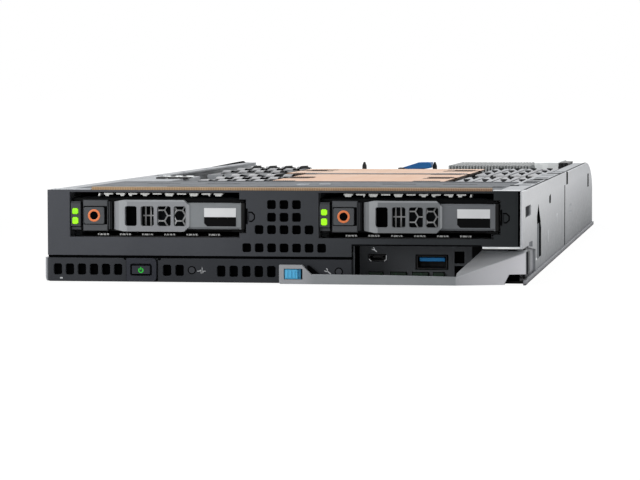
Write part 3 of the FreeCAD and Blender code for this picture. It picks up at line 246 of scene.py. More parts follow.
def wire(tree, made, inputs):
    """Set a shader node's inputs: another node's output is linked, anything else is a fixed value."""
    for label, value in inputs.items():
        if isinstance(value, bpy.types.NodeSocket):
            tree.links.new(value, made.inputs[label])
        else:
            made.inputs[label].default_value = value
    return made


def node(tree, kind, inputs, operation=None):
    """New shader node with its inputs set."""
    made = tree.nodes.new("ShaderNode" + kind)
    if operation:
        made.operation = operation
    return wire(tree, made, inputs)


def noise(tree, place, scale, detail, rough=0.55):
    """Noise texture; its scale may be a number or another node's output."""
    inputs = {"Vector": place, "Scale": scale, "Detail": detail, "Roughness": rough}
    return node(tree, "TexNoise", inputs).outputs["Fac"]


def spread(tree, value, low, high):
    """Stretch the middle of a value to the full range from 0 to 1."""
    return node(tree, "MapRange", {"Value": value, "From Min": low, "From Max": high}).outputs["Result"]


def effect_group(name, inputs, outputs):
    """Empty shader group: a place, other inputs with their usual values, and outputs that are masks."""
    tree = bpy.data.node_groups.new(name, "ShaderNodeTree")
    tree.interface.new_socket("Place", in_out="INPUT", socket_type="NodeSocketVector")
    for label, value in inputs.items():
        kind = "NodeSocketVector" if isinstance(value, tuple) else "NodeSocketFloat"
        tree.interface.new_socket(label, in_out="INPUT", socket_type=kind).default_value = value
    for label in outputs:
        tree.interface.new_socket(label, in_out="OUTPUT", socket_type="NodeSocketFloat")
    return tree, tree.nodes.new("NodeGroupInput").outputs, tree.nodes.new("NodeGroupOutput")


def moulded_grain():
    """Fine spark-eroded texture of moulded plastic and powder paint, with broad mottling."""
    sizes = {"Grain": 2600.0, "Patch": 24.0}
    tree, given, result = effect_group("Moulded grain", sizes, ("Height", "Mottle"))
    height = noise(tree, given["Place"], given["Grain"], 3.0)
    mottle = noise(tree, given["Place"], given["Patch"], 5.0, 0.6)
    wire(tree, result, {"Height": height, "Mottle": spread(tree, mottle, 0.3, 0.7)})
    return tree


def zinc_spangle():
    """Frosted crystals of a hot-dip zinc coat."""
    tree, given, result = effect_group("Zinc spangle", {"Crystals": 260.0}, ("Flake", "Frost"))
    wander = noise(tree, given["Place"], 180.0, 2.0)
    reach = (0.0022, 0.0022, 0.0022)
    shift = node(tree, "VectorMath", {0: wander, 1: reach, 2: given["Place"]}, "MULTIPLY_ADD")
    cells = node(tree, "TexVoronoi", {"Vector": shift.outputs["Vector"], "Scale": given["Crystals"]})
    grey = node(tree, "RGBToBW", {"Color": cells.outputs["Color"]}).outputs["Val"]
    frost = noise(tree, given["Place"], 900.0, 4.0)
    wire(tree, result, {"Flake": spread(tree, grey, 0.2, 0.8), "Frost": frost})
    return tree


def rolled_lines():
    """Fine parallel lines left by rolling, brushing or drawing, stretched by the Stretch scale."""
    sizes = {"Stretch": (2400.0, 30.0, 2400.0)}
    tree, given, result = effect_group("Rolled lines", sizes, ("Lines", "Bands"))
    along = node(tree, "VectorMath", {0: given["Place"], 1: given["Stretch"]}, "MULTIPLY").outputs["Vector"]
    wire(tree, result, {"Lines": spread(tree, noise(tree, along, 1.0, 3.0), 0.3, 0.7),
                        "Bands": spread(tree, noise(tree, along, 0.12, 2.0), 0.35, 0.65)})
    return tree


def handling_marks():
    """Faint smudges from handling and a few hairline scratches."""
    tree, given, result = effect_group("Handling marks", {"Smudges": 38.0}, ("Smudge", "Scratch"))
    smudge = noise(tree, given["Place"], given["Smudges"], 6.0, 0.65)
    turn = node(tree, "Mapping", {"Vector": given["Place"], "Rotation": (0.4, 0.9, 0.6),
                                  "Scale": (16.0, 900.0, 16.0)})
    hair = noise(tree, turn.outputs["Vector"], 1.0, 2.0)
    wire(tree, result, {"Smudge": spread(tree, smudge, 0.42, 0.72),
                        "Scratch": spread(tree, hair, 0.68, 0.74)})
    return tree


GRAIN = moulded_grain()
SPANGLE = zinc_spangle()
ROLLED = rolled_lines()
MARKS = handling_marks()


def tone(red, green, blue):
    """Colour as seen on a screen, from 0 to 255, turned to linear light."""
    linear = []
    for value in (red, green, blue):
        share = value / 255
        linear.append(share / 12.92 if share <= 0.04045 else ((share + 0.055) / 1.055) ** 2.4)
    return (*linear, 1.0)


def lifted(colour, times):
    """Brighter linear colour for scratches."""
    return [min(1.0, share * times) for share in tone(*colour)]


class Finish:
    """One material: a Principled shader, with masks for its tint, its sheen and its height."""

    def __init__(self, name, metal=0.0, gloss=0.5):
        self.material = bpy.data.materials.new(name)
        self.material.use_nodes = True
        self.tree = self.material.node_tree
        self.shader = self.tree.nodes["Principled BSDF"]
        wire(self.tree, self.shader, {"Metallic": metal, "Specular IOR Level": gloss})
        self.place = node(self.tree, "TexCoord", {}).outputs["Object"]

    def effect(self, group, **values):
        """Masks of a shared surface effect."""
        made = self.tree.nodes.new("ShaderNodeGroup")
        made.node_tree = group
        return wire(self.tree, made, {"Place": self.place, **values}).outputs

    def mix(self, mask, first, second):
        """Colour between two by a mask; each is a screen colour or another node's output."""
        made = self.tree.nodes.new("ShaderNodeMix")
        made.data_type = "RGBA"
        first, second = (tone(*each) if isinstance(each, tuple) else each for each in (first, second))
        wire(self.tree, made, {MIX_MASK: mask, MIX_FIRST: first, MIX_SECOND: second})
        return made.outputs[MIX_RESULT]

    def tint(self, dark, light):
        """Colour that varies over the surface with its texture."""
        return self.mix(self.masks[0], dark, light)

    def across(self, axis, low, high, first, second):
        """One colour below a place on an axis and another above it, blended between two places."""
        parts = node(self.tree, "SeparateXYZ", {"Vector": self.place})
        return self.mix(spread(self.tree, parts.outputs[axis], low * MM, high * MM), first, second)

    def slant(self, direction, low, high, first, second):
        """Two colours along a slanting direction, blended between two distances."""
        reach = node(self.tree, "VectorMath", {0: self.place, 1: direction}, "DOT_PRODUCT").outputs["Value"]
        return self.mix(spread(self.tree, reach, low * MM, high * MM), first, second)

    def glow(self, colour, strength):
        """Light given off by the surface."""
        wire(self.tree, self.shader, {"Emission Color": colour, "Emission Strength": strength})

    def finished(self, colour, rough, depth=0.0):
        """Material with its colour, its two ends of roughness and the depth of its texture."""
        smooth, dull = rough
        level = node(self.tree, "MapRange", {"Value": self.masks[1], "To Min": smooth, "To Max": dull})
        wire(self.tree, self.shader, {"Base Color": colour, "Roughness": level.outputs["Result"]})
        if depth:
            bump = node(self.tree, "Bump", {"Height": self.masks[2], "Distance": depth * MM})
            wire(self.tree, self.shader, {"Normal": bump.outputs["Normal"]})
        return self.material


class Grained(Finish):
    """Moulded plastic or powder paint with smudges."""

    def __init__(self, name, metal=0.0, gloss=0.5, **texture):
        super().__init__(name, metal, gloss)
        grain = self.effect(GRAIN, **texture)
        self.marks = self.effect(MARKS)
        self.masks = grain["Mottle"], self.marks["Smudge"], grain["Height"]


class Lit(Finish):
    """Surface that gives light, with a diffusing core."""

    def __init__(self, name, **texture):
        super().__init__(name)
        core = self.effect(GRAIN, **texture)
        self.masks = core["Mottle"], core["Height"], core["Height"]


class Zinc(Finish):
    """Zinc-coated sheet."""

    def __init__(self, name, metal, gloss=0.5, **texture):
        super().__init__(name, metal, gloss)
        zinc = self.effect(SPANGLE, **texture)
        self.masks = zinc["Frost"], zinc["Flake"], zinc["Frost"]


class Rolled(Finish):
    """Bare metal with rolled or drawn lines."""

    def __init__(self, name, metal, stretch, gloss=0.5):
        super().__init__(name, metal, gloss)
        rolled = self.effect(ROLLED, Stretch=stretch)
        self.masks = rolled["Lines"], rolled["Bands"], rolled["Lines"]


UPRIGHT_LINES = (40.0, 30.0, 2400.0)


# Finishes

def moulded(name, dark, light, rough=(0.42, 0.6), grain=2600.0, depth=GRAIN_DEPTH, gloss=0.4):
    """Moulded plastic: mottled colour, smudged gloss, scratches and a fine eroded texture."""
    plastic = Grained(name, gloss=gloss, Grain=grain)
    scratched = plastic.mix(plastic.marks["Scratch"], plastic.tint(dark, light), lifted(light, 1.6))
    return plastic.finished(scratched, rough, depth)


def sheet_metal(name, dark, light, rough=(0.3, 0.48)):
    """Zinc-coated sheet with spangle, frost and scratches."""
    sheet = Zinc(name, 1.0)
    bright = sheet.mix(sheet.masks[1], sheet.tint(dark, light), light)
    scratched = sheet.mix(sheet.effect(MARKS)["Scratch"], bright, lifted(light, 1.15))
    return sheet.finished(scratched, rough, FROST_DEPTH)


def dull_sheet(name, dark, light):
    """Dull zinc sheet with little shine."""
    sheet = Zinc(name, 0.2, 0.05)
    smudged = sheet.mix(sheet.effect(MARKS)["Smudge"], sheet.tint(dark, light), light)
    return sheet.finished(smudged, (0.62, 0.78), FROST_DEPTH)


def drawn_metal(name, dark, light, stretch, rough=(0.22, 0.42), metal=1.0):
    """Rolled or drawn bare metal with parallel lines."""
    bare = Rolled(name, metal, stretch)
    smudged = bare.mix(bare.effect(MARKS)["Smudge"], bare.tint(dark, light), dark)
    return bare.finished(smudged, rough, LINE_DEPTH)


def galvanised_sheet():
    return sheet_metal("galvanised sheet", (168, 171, 175), (206, 208, 211))


def wall_sheet(side):
    """Side wall: fine frosted zinc outside with painted shade towards its foot and rear and a painted
    highlight on its front edge; painted shade on its inner faces and in the recess behind the lever.
    """
    wall = Zinc("wall sheet " + side, 0.85, Crystals=600.0)
    sign = 1 if side == "right" else -1
    # Painted shade: each tone darkens towards the foot over this height, and the rear tones are darker than
    # the front ones.
    fade = 2.0, 34.0
    front = wall.across("Z", *fade, wall.tint((124, 127, 131), (146, 149, 152)),
                        wall.tint((224, 226, 229), (242, 243, 245)))
    rear = wall.across("Z", *fade, wall.tint((100, 103, 107), (124, 127, 130)),
                       wall.tint((207, 209, 213), (228, 230, 233)))
    bright = wall.across("Y", -200.0, 180.0, front, rear)
    # Painted shade on the inner faces and the top flange.
    inner = wall.across("Z", PANEL_TOP - 0.7, PANEL_TOP - 0.3, wall.tint((146, 149, 153), (180, 183, 187)),
                        wall.tint((138, 141, 145), (170, 173, 177)))
    # Painted shade in the low recess behind the lever's wing, darkest at its front.
    recess = wall.across("Y", -234.0, -198.0, (44, 46, 48), (158, 160, 164))
    shaded = wall.across("Z", 14.2, 14.8, recess, inner)
    # Painted highlight along the wall's front edge.
    edge = wall.across("Y", -258.3, -257.6, wall.tint((176, 178, 182), (204, 206, 210)), shaded)
    colour = wall.across("X", sign * (WALL_IN + 0.4), sign * (WALL_OUT - 0.1), edge, bright)
    return wall.finished(colour, (0.4, 0.54), 0.01)


def pan_sheet():
    """Pan: grey zinc, paler on the upper half of its flanges, with painted shade at its foot and a painted
    shadow under the lever.
    """
    pan = Zinc("pan sheet", 0.6)
    flange = pan.across("Z", 0.9, 1.3, pan.tint((104, 103, 109), (132, 131, 137)),
                        pan.tint((126, 128, 132), (148, 150, 154)))
    # Painted shade along the foot.
    foot_shaded = pan.across("Z", 0.35, 0.6, (26, 27, 30), flange)
    # Painted shadow under the lever: black inside the walls, at the front only.
    under = pan.across("X", WALL_OUT - 0.1, WALL_OUT + 0.3, (12, 12, 13), foot_shaded)
    return pan.finished(pan.across("Y", -242.0, -228.0, under, foot_shaded), (0.42, 0.58), FROST_DEPTH)


def cage_sheet():
    return dull_sheet("cage sheet", (98, 101, 105), (132, 135, 139))


def baffle_sheet():
    return dull_sheet("baffle sheet", (162, 165, 169), (200, 203, 207))


def shaded_slot_sheet():
    return dull_sheet("shaded slot sheet", (34, 36, 39), (52, 54, 57))


def pale_bracket_sheet():
    return sheet_metal("pale bracket sheet", (210, 214, 215), (236, 239, 239), (0.4, 0.55))


def charcoal_panel_paint():
    """Charcoal powder paint, with painted shade that deepens it towards the right end."""
    paint = Grained("charcoal panel paint", gloss=0.08, Grain=3200.0)
    # Painted shade: darker tones towards the right end.
    colour = paint.across("X", -50.0, 96.0, paint.tint((74, 76, 81), (82, 84, 89)),
                          paint.tint((42, 45, 47), (50, 53, 55)))
    return paint.finished(colour, (0.52, 0.66), GRAIN_DEPTH)


def dark_port_paint():
    """Port plate paint, black beyond the last vents."""
    paint = Grained("dark port plate paint", gloss=0.08, Grain=3200.0)
    colour = paint.across("X", 80.0, 80.5, paint.tint((102, 105, 109), (114, 117, 121)), (8, 9, 10))
    return paint.finished(colour, (0.5, 0.64), GRAIN_DEPTH)


def charcoal_bezel_plastic():
    """Bezel plastic, paler at its left end."""
    plastic = Grained("charcoal bezel plastic", gloss=0.1)
    colour = plastic.across("X", -105.4, -103.6, plastic.tint((186, 188, 194), (214, 216, 221)),
                            plastic.tint((50, 52, 56), (60, 62, 66)))
    return plastic.finished(colour, (0.42, 0.58), GRAIN_DEPTH)


def power_block_plastic():
    return moulded("power block plastic", (48, 50, 57), (58, 60, 67), (0.38, 0.52), gloss=0.12)


def carrier_charcoal(side):
    """Carrier plastic: charcoal on the raised front, with painted shade that turns it black in its depth,
    and the same black at the hinge ears.
    """
    plastic = Grained("carrier charcoal " + side, gloss=0.06)
    # Painted shade: black in the depth behind the raised front.
    depth_shade = plastic.tint((9, 10, 11), (17, 18, 19))
    shaded = plastic.across("Y", -257.2, -256.2, plastic.tint((70, 72, 75), (82, 84, 87)), depth_shade)
    ear = BAYS[side] + 33.6
    return plastic.finished(plastic.across("X", ear, ear + 0.6, shaded, depth_shade), (0.45, 0.6), GRAIN_DEPTH)


def button_grey():
    return moulded("button grey plastic", (80, 82, 85), (94, 96, 99), (0.4, 0.54), gloss=0.1)


def black_connector_plastic():
    return moulded("black connector plastic", (22, 23, 25), (33, 34, 36), (0.35, 0.5))


def black_latch_plastic():
    return moulded("black latch plastic", (20, 21, 22), (32, 33, 34), (0.3, 0.48))


def pale_blank_plastic():
    """Pale air blanks, darker on their left half, with painted shade below their top faces and in their
    pockets.
    """
    plastic = Grained("pale blank plastic", gloss=0.3)
    pale = plastic.across("X", -20.0, 20.0, plastic.tint((84, 86, 90), (118, 120, 124)),
                          plastic.tint((150, 152, 157), (184, 186, 190)))
    # Painted shade below the top faces and in the pockets.
    depth_shade = plastic.tint((22, 24, 25), (36, 38, 39))
    return plastic.finished(plastic.across("Z", 37.86, 37.97, depth_shade, pale), (0.42, 0.58), GRAIN_DEPTH)


def thumb_blue():
    return moulded("thumb latch blue", (88, 188, 236), (122, 216, 252), (0.28, 0.42))


def card_latch_blue():
    return moulded("card latch blue", (18, 96, 168), (38, 128, 204), (0.3, 0.45))


def tongue_blue():
    return moulded("port tongue blue", (18, 150, 236), (34, 172, 250), (0.4, 0.55))


def ring_orange():
    return moulded("release ring orange", (232, 118, 62), (250, 146, 88), (0.4, 0.55))


def label_white():
    return moulded("label white film", (220, 222, 224), (238, 239, 241), grain=1500.0, depth=0.008)


def label_black():
    return moulded("label black film", (6, 6, 7), (14, 14, 15), (0.4, 0.52), depth=0.006, gloss=0.05)


def sign_white():
    return moulded("sign pale ink", (186, 189, 192), (206, 208, 210), grain=1800.0, depth=0.004)


def smoked_light():
    return moulded("smoked light guide", (58, 60, 64), (68, 70, 75), (0.2, 0.34), depth=0.004, gloss=0.2)


# White for the painted highlights of the blank ridges, and for the right blank ends.
def ridge_white():
    return moulded("blank ridge white", (222, 223, 226), (246, 246, 248), (0.5, 0.65))


# Black for seals, pins, rims and joints, and for sheets of painted shade in gaps, slots and openings.
def seal_and_shade_black():
    return moulded("seal and shade black", (5, 5, 6), (11, 12, 13), (0.75, 0.9), gloss=0.0)


def chip_epoxy():
    return moulded("chip epoxy", (26, 27, 29), (40, 41, 44), (0.45, 0.6), 1800.0, 0.03)


def choke_ferrite():
    return moulded("choke ferrite", (66, 68, 72), (92, 94, 98), (0.5, 0.66), 1500.0, 0.05)


def recess_painted_glow():
    """Pale ink inside the port recess, with a painted glow that keeps it bright against the shade."""
    sign = Lit("recess ink painted glow", Grain=1800.0)
    ink = sign.tint((190, 193, 196), (214, 216, 218))
    # Painted glow: the ink gives light though it is no lamp.
    sign.glow(ink, 0.35)
    return sign.finished(ink, (0.5, 0.65))


def drive_light_glow():
    """Lit yellow-green guide, brighter in patches of its diffusing core."""
    guide = Lit("drive light glow", Grain=1600.0, Patch=420.0)
    guide.glow(guide.tint((140, 232, 0), (180, 250, 10)), 0.95)
    return guide.finished(guide.tint((60, 110, 8), (90, 140, 20)), (0.2, 0.35), 0.01)


def power_sign_glow():
    """Lit green power sign."""
    sign = Lit("power sign glow", Grain=2200.0, Patch=600.0)
    sign.glow(sign.tint((16, 152, 34), (34, 184, 52)), 0.8)
    return sign.finished(sign.tint((16, 120, 28), (30, 150, 40)), (0.3, 0.45))


def lever_grey_paint():
    """Grey lever paint: pale latch plate, greyer bar, a painted highlight that brightens the wing face
    towards its right, painted shade on the slope behind it, darker low down, and painted shade on its end
    face.
    """
    paint = Grained("lever grey paint", 0.1, 0.3, Grain=4200.0, Patch=16.0)
    front = paint.across("X", 9.6, 15.0, paint.tint((160, 162, 166), (174, 176, 180)),
                         paint.tint((140, 144, 147), (156, 160, 163)))
    # Painted highlight: the wing face brightens towards its right end.
    face = paint.across("X", 76.0, 103.0, (182, 184, 188), (238, 238, 243))
    # Painted shade on the slope behind the face, darker low down.
    slope_shade = paint.across("Z", 3.5, 13.5, (164, 166, 169), (204, 206, 209))
    wing = paint.slant((-0.3445, 1.0, 0.0), -288.3, -287.7, face, slope_shade)
    body = paint.across("X", 75.2, 76.0, front, wing)
    # Painted shade on the wing's end face.
    end = paint.across("Y", -252.0, -228.0, (22, 24, 29), (58, 61, 66))
    return paint.finished(paint.across("X", 104.3, 104.7, body, end), (0.42, 0.58), 0.012)


def handle_two_tone(side):
    """Handle plastic: a raised frame with painted highlights on its top edge, its left bevel and its right
    end, a darker recessed plate and a black hinge end; the right handle's darker tones are painted shade.
    """
    plastic = Grained("handle two-tone plastic " + side, gloss=0.25)
    # Painted shade: the right handle takes darker tones than the left one.
    if side == "left":
        face = plastic.tint((136, 138, 142), (152, 154, 158))
        right_end_highlight = plastic.tint((176, 178, 182), (192, 194, 198))
        recessed = plastic.tint((122, 126, 129), (142, 146, 149))
    else:
        face = plastic.tint((116, 119, 122), (132, 135, 138))
        right_end_highlight = plastic.tint((172, 175, 178), (188, 191, 194))
        recessed = plastic.tint((100, 103, 107), (118, 121, 125))
    # Painted highlight on the frame's top edge and its left bevel.
    edge_highlight = plastic.tint((152, 155, 158), (170, 173, 176))
    frame_end = BAYS[side] + 15.0
    grip_start = BAYS[side] - 15.8
    grip_end = BAYS[side] - 11.9
    hinge_end = BAYS[side] + 38.3
    # Painted highlight on the frame's right end.
    raised = plastic.across("X", frame_end - 0.15, frame_end + 0.15, face, right_end_highlight)
    raised = plastic.across("Z", 34.9, 35.15, raised, edge_highlight)
    body = plastic.across("Y", -258.9, -258.45, raised, recessed)
    grip = plastic.across("X", grip_start - 0.2, grip_start + 0.2, face, edge_highlight)
    body = plastic.across("X", grip_end - 0.2, grip_end + 0.2, grip, body)
    colour = plastic.across("X", hinge_end - 0.1, hinge_end + 0.1, body, (10, 11, 12))
    return plastic.finished(colour, (0.4, 0.56), 0.018)


def woven_gasket():
    """Conductive cloth: crossed metal threads over foam, with a painted highlight along its crown."""
    cloth = Finish("woven gasket cloth", 0.35)
    threads = {}
    weave = {"Vector": cloth.place, "Scale": 420.0, "Distortion": 0.6, "Detail": 1.0}
    for index, direction in enumerate("XY"):
        wave = node(cloth.tree, "TexWave", weave)
        wave.bands_direction = direction
        threads[index] = wave.outputs["Fac"]
    cross = node(cloth.tree, "Math", threads, "MULTIPLY").outputs["Value"]
    cloth.masks = cross, cross, cross
    woven = cloth.across("X", -20.0, 90.0, cloth.tint((134, 106, 74), (188, 158, 122)),
                         cloth.tint((116, 88, 68), (164, 134, 110)))
    smudged = cloth.mix(cloth.effect(MARKS, Smudges=60.0)["Smudge"], woven, (140, 112, 84))
    # Painted highlight along the crown.
    crown_highlight = cloth.tint((150, 138, 122), (192, 180, 166))
    return cloth.finished(cloth.across("Z", 41.1, 41.3, smudged, crown_highlight), (0.6, 0.45), 0.08)


def board_green():
    """Solder mask over copper tracks: lighter lines and pads under a green coat."""
    board = Finish("board green mask")
    coat = board.effect(GRAIN, Grain=3000.0, Patch=40.0)
    tracks = node(board.tree, "TexBrick", {
        "Vector": board.place, "Scale": 90.0, "Mortar Size": 0.035, "Mortar": tone(34, 86, 52),
        "Color1": tone(8, 40, 22), "Color2": tone(13, 52, 29)}).outputs
    board.masks = coat["Mottle"], coat["Mottle"], tracks["Fac"]
    return board.finished(board.tint(tracks["Color"], (7, 34, 19)), (0.28, 0.42), 0.03)


def copper_plate():
    """Pale copper cover sheet with drawn lines and soft tarnish, with painted shade on its cut edges."""
    copper = Rolled("pale copper sheet", 0.45, (1800.0, 24.0, 1800.0), 0.25)
    sheet = copper.across("Y", -60.0, 60.0, copper.tint((212, 174, 150), (226, 192, 168)),
                          copper.tint((220, 190, 168), (234, 206, 186)))
    tarnished = copper.mix(copper.effect(MARKS, Smudges=22.0)["Smudge"], sheet, (214, 178, 154))
    # Painted shade on the cut edges below the top face.
    cut_edge_shade = copper.tint((40, 27, 19), (74, 52, 38))
    return copper.finished(copper.across("Z", 38.9, 38.97, cut_edge_shade, tarnished), (0.5, 0.66), LINE_DEPTH)


# Dark copper for the painted shade beside the screw notches.
def copper_notch_shade():
    return drawn_metal("copper notch shade", (26, 17, 12), (50, 34, 24), UPRIGHT_LINES, (0.6, 0.75), 0.1)


def heatsink_fins():
    """Copper-toned fins, with painted shade that darkens them in the depth of the stack."""
    fins = Rolled("heatsink fins", 0.4, UPRIGHT_LINES, 0.2)
    # Painted shade below the fins' upper edges.
    colour = fins.across("Z", 38.1, 38.3, fins.tint((36, 28, 22), (60, 48, 38)),
                         fins.tint((150, 116, 92), (186, 150, 122)))
    return fins.finished(colour, (0.3, 0.48), LINE_DEPTH)


def pale_cooler_fins():
    return drawn_metal("pale cooler fins", (170, 173, 174), (206, 208, 208), UPRIGHT_LINES, (0.4, 0.55), 0.5)


def spring_steel():
    """Spring leaves, bright at their bent fronts, with painted shade that dims the lower strip and darkens
    them along their rails.
    """
    steel = Rolled("bright spring steel", 0.3, (2400.0, 60.0, 2400.0))
    # Painted shade: the lower strip's tones are dimmer.
    bright = steel.across("Z", 25.0, 26.0, steel.tint((140, 141, 140), (176, 177, 176)),
                          steel.tint((180, 181, 179), (218, 219, 217)))
    # Painted shade, nearly black, low on the lower strip and along the upper rail.
    dark = steel.tint((8, 8, 9), (16, 16, 17))
    leaves = steel.across("Z", 20.1, 20.3, dark, bright)
    return steel.finished(steel.across("Z", 38.68, 38.74, leaves, dark), (0.45, 0.6), LINE_DEPTH)


def turned_pin_steel():
    return drawn_metal("turned pin steel", (150, 151, 153), (188, 189, 191), (60.0, 60.0, 3000.0))


def plated_port_steel():
    return drawn_metal("dark plated port steel", (9, 9, 10), (18, 18, 20), (2200.0, 40.0, 2200.0),
                       (0.5, 0.65), 0.0)


def perforated_steel():
    return drawn_metal("perforated mesh steel", (218, 219, 220), (248, 248, 248), (40.0, 2000.0, 2000.0),
                       (0.4, 0.6), 0.1)


def drive_case_metal():
    return drawn_metal("drive case metal", (22, 23, 25), (38, 40, 42), (1600.0, 40.0, 40.0), (0.4, 0.55))


def package_nickel():
    return drawn_metal("package nickel", (158, 160, 163), (194, 196, 198), (1600.0, 40.0, 40.0))


def guide_bush_metal():
    return drawn_metal("guide bush metal", (140, 143, 147), (178, 180, 184), (60.0, 1800.0, 60.0))


def contact_gold():
    return drawn_metal("contact gold", (196, 150, 70), (232, 192, 108), (2000.0, 60.0, 60.0))


def can_aluminium():
    return drawn_metal("capacitor can", (178, 180, 184), (212, 214, 216), (1200.0, 1200.0, 60.0))


STEEL = galvanised_sheet()
PAN = pan_sheet()
SPRING = spring_steel()
RIGHT_WALL = wall_sheet("right")
CAGE = cage_sheet()
BAFFLE = baffle_sheet()
SHADED = shaded_slot_sheet()
PALE_SHEET = pale_bracket_sheet()
PANEL = charcoal_panel_paint()
BEZEL = charcoal_bezel_plastic()
POWER = power_block_plastic()
CARRIERS = {side: carrier_charcoal(side) for side in BAYS}
BUTTON = button_grey()
LIGHTS = drive_light_glow()
MESH = perforated_steel()
DISK = drive_case_metal()
BOARD = board_green()
BLACK = black_connector_plastic()
LATCH_BLACK = black_latch_plastic()
FINS = heatsink_fins()
COOLER = pale_cooler_fins()
COPPER = copper_plate()
PINS = turned_pin_steel()
GOLD = contact_gold()
SIGN = sign_white()
RECESS_PAINTED_GLOW = recess_painted_glow()
SEAL_AND_SHADE = seal_and_shade_black()
RIDGE = ridge_white()
LEVER = lever_grey_paint()
LABEL_WHITE = label_white()
LABEL_BLACK = label_black()
ORANGE = ring_orange()
CAN = can_aluminium()

NODE_FINISHES = {
    "base_pan": PAN, "left_wall": wall_sheet("left"), "right_wall_front": RIGHT_WALL,
    "right_wall_rear": RIGHT_WALL, "rear_panel": STEEL, "side_baffle": BAFFLE, "drive_cage": CAGE,
    "mezzanine_bracket": PALE_SHEET, "front_panel": PANEL, "io_panel": dark_port_paint(),
    "lower_bezel": BEZEL, "emi_fingers": SPRING, "emi_gasket": woven_gasket(),
    "status_lights": smoked_light(), "power_surround": POWER, "power_button": POWER,
    "port_shells": plated_port_steel(), "usb_tongue": tongue_blue(), "lever_pin": SEAL_AND_SHADE,
    "heatsink_screws": PINS, "release_lever": LEVER, "lever_latch": thumb_blue(),
    "card_latch": card_latch_blue(), "latch_frame": LATCH_BLACK, "processors": package_nickel(),
    "mezzanine_heatsink": COOLER, "memory_blanks": pale_blank_plastic(),
    "guide_sockets": guide_bush_metal(),
}
for name in ("control_board", "drive_backplane", "system_board", "mezzanine_card"):
    NODE_FINISHES[name] = BOARD
for name in ("backplane_connectors", "processor_sockets", "memory_sockets", "mezzanine_connectors",
             "rear_connectors"):
    NODE_FINISHES[name] = BLACK
for row in ("front", "rear"):
    NODE_FINISHES[row + "_heatsink"] = FINS
    NODE_FINISHES[row + "_heatsink_plate"] = COPPER
    for end in ("fore", "aft"):
        NODE_FINISHES[row + "_memory_latches_" + end] = LATCH_BLACK
for side in BAYS:
    for part, finish in (("carrier", CARRIERS[side]), ("handle", handle_two_tone(side)),
                         ("hinge_pin", SEAL_AND_SHADE), ("button", BUTTON), ("lights", LIGHTS), ("mesh", MESH),
                         ("disk", DISK)):
        NODE_FINISHES[side + "_drive_" + part] = finish


def dress_nodes():
    """Every CAD node takes its finish; the large sheets and mouldings get soft edges."""
    for name, made in NODES.items():
        made.data.materials.clear()
        made.data.materials.append(NODE_FINISHES[name])
    for name in ("lower_bezel", "release_lever", "drive_cage", "right_wall_front", "right_wall_rear",
                 "left_wall", "base_pan", "power_surround", "power_button", "io_panel",
                 "mezzanine_bracket", "card_latch", "lever_latch", "rear_panel", "side_baffle"):
        soften(name, SHEET_EDGE)
    for side in BAYS:
        for part in ("carrier", "handle", "button"):
            soften(side + "_drive_" + part, MOULDING_EDGE)
        soften(side + "_drive_lights", LIGHT_EDGE)


# Drive trim

def label_cards(side, centre):
    """Two-colour identity label on the handle's plate, left bare."""
    left = centre + 22.1
    right = centre + 36.1
    low = 24.4
    split = 28.4
    clip = 1.3
    upper = box(left, right, split, 32.3)
    lower = [(left + clip, low), (right, low), (right, split), (left, split), (left, low + clip)]
    for half, outline, film in (("upper", upper, LABEL_WHITE), ("lower", lower, LABEL_BLACK)):
        card = slab("front", outline, LABEL_BACK - 0.15, LABEL_BACK + 0.05)
        piece(side + "_label_" + half, card, film, 0.05, side + "_handle")


def button_ring(side, centre):
    """Orange ring inlaid in the release button round its dark dish."""
    x = centre + BUTTON_U
    front = BUTTON_FRONT - 0.12
    back = BUTTON_FRONT + 0.05
    inlay = ring("front", x, BUTTON_Z, [(1.8, back), (1.8, front + 0.05), (1.9, front), (2.6, front),
                                        (2.7, front + 0.05), (2.7, back)])
    piece(side + "_button_ring", inlay, ORANGE, body=side + "_button")
    dish = slab("front", circle(x, BUTTON_Z, 1.72, 24), BUTTON_FRONT + 0.06, BUTTON_FRONT + 0.4)
    piece(side + "_button_dish", dish, SEAL_AND_SHADE, body=side + "_button")


def catch_ribs(side, centre):
    """Stepped catch between the button bracket and the handle's free end."""
    steps = ((-20.6, -20.0, -257.1), (-19.9, -19.3, -256.6), (-19.2, -18.8, -256.1))
    ribs = [slab("front", box(centre + start, centre + end, 22.8, 34.9), front, CARRIER_FRONT)
            for start, end, front in steps]
    carrier_trim(side, "catch_ribs", ribs, CARRIERS[side], 0.08)


def boss_lip(side, centre):
    """Small ledges over and under the drive lights."""
    lips = [slab("front", box(centre - 37.1, centre - 32.9, low, high), front, CARRIER_FRONT)
            for low, high, front in ((34.3, 34.9, -257.9), (22.6, 23.9, -257.2))]
    carrier_trim(side, "boss_lip", lips, CARRIERS[side], 0.1)


def bracket_flanges(side, centre):
    """Flanges above and below the release button, with a groove of painted shade at its right."""
    front = -258.0
    back = -257.55
    flanges = [slab("front", box(centre - 31.6, centre - 21.0, low, high), front, back)
               for low, high in ((32.9, 35.4), (22.3, 24.9))]
    carrier_trim(side, "bracket_flanges", flanges, BUTTON, 0.2)
    # Painted shade in the groove.
    groove = slab("front", box(centre - 22.0, centre - 21.1, 25.0, 32.8), back - 0.15, back)
    carrier_trim(side, "bracket_groove", groove, SEAL_AND_SHADE)


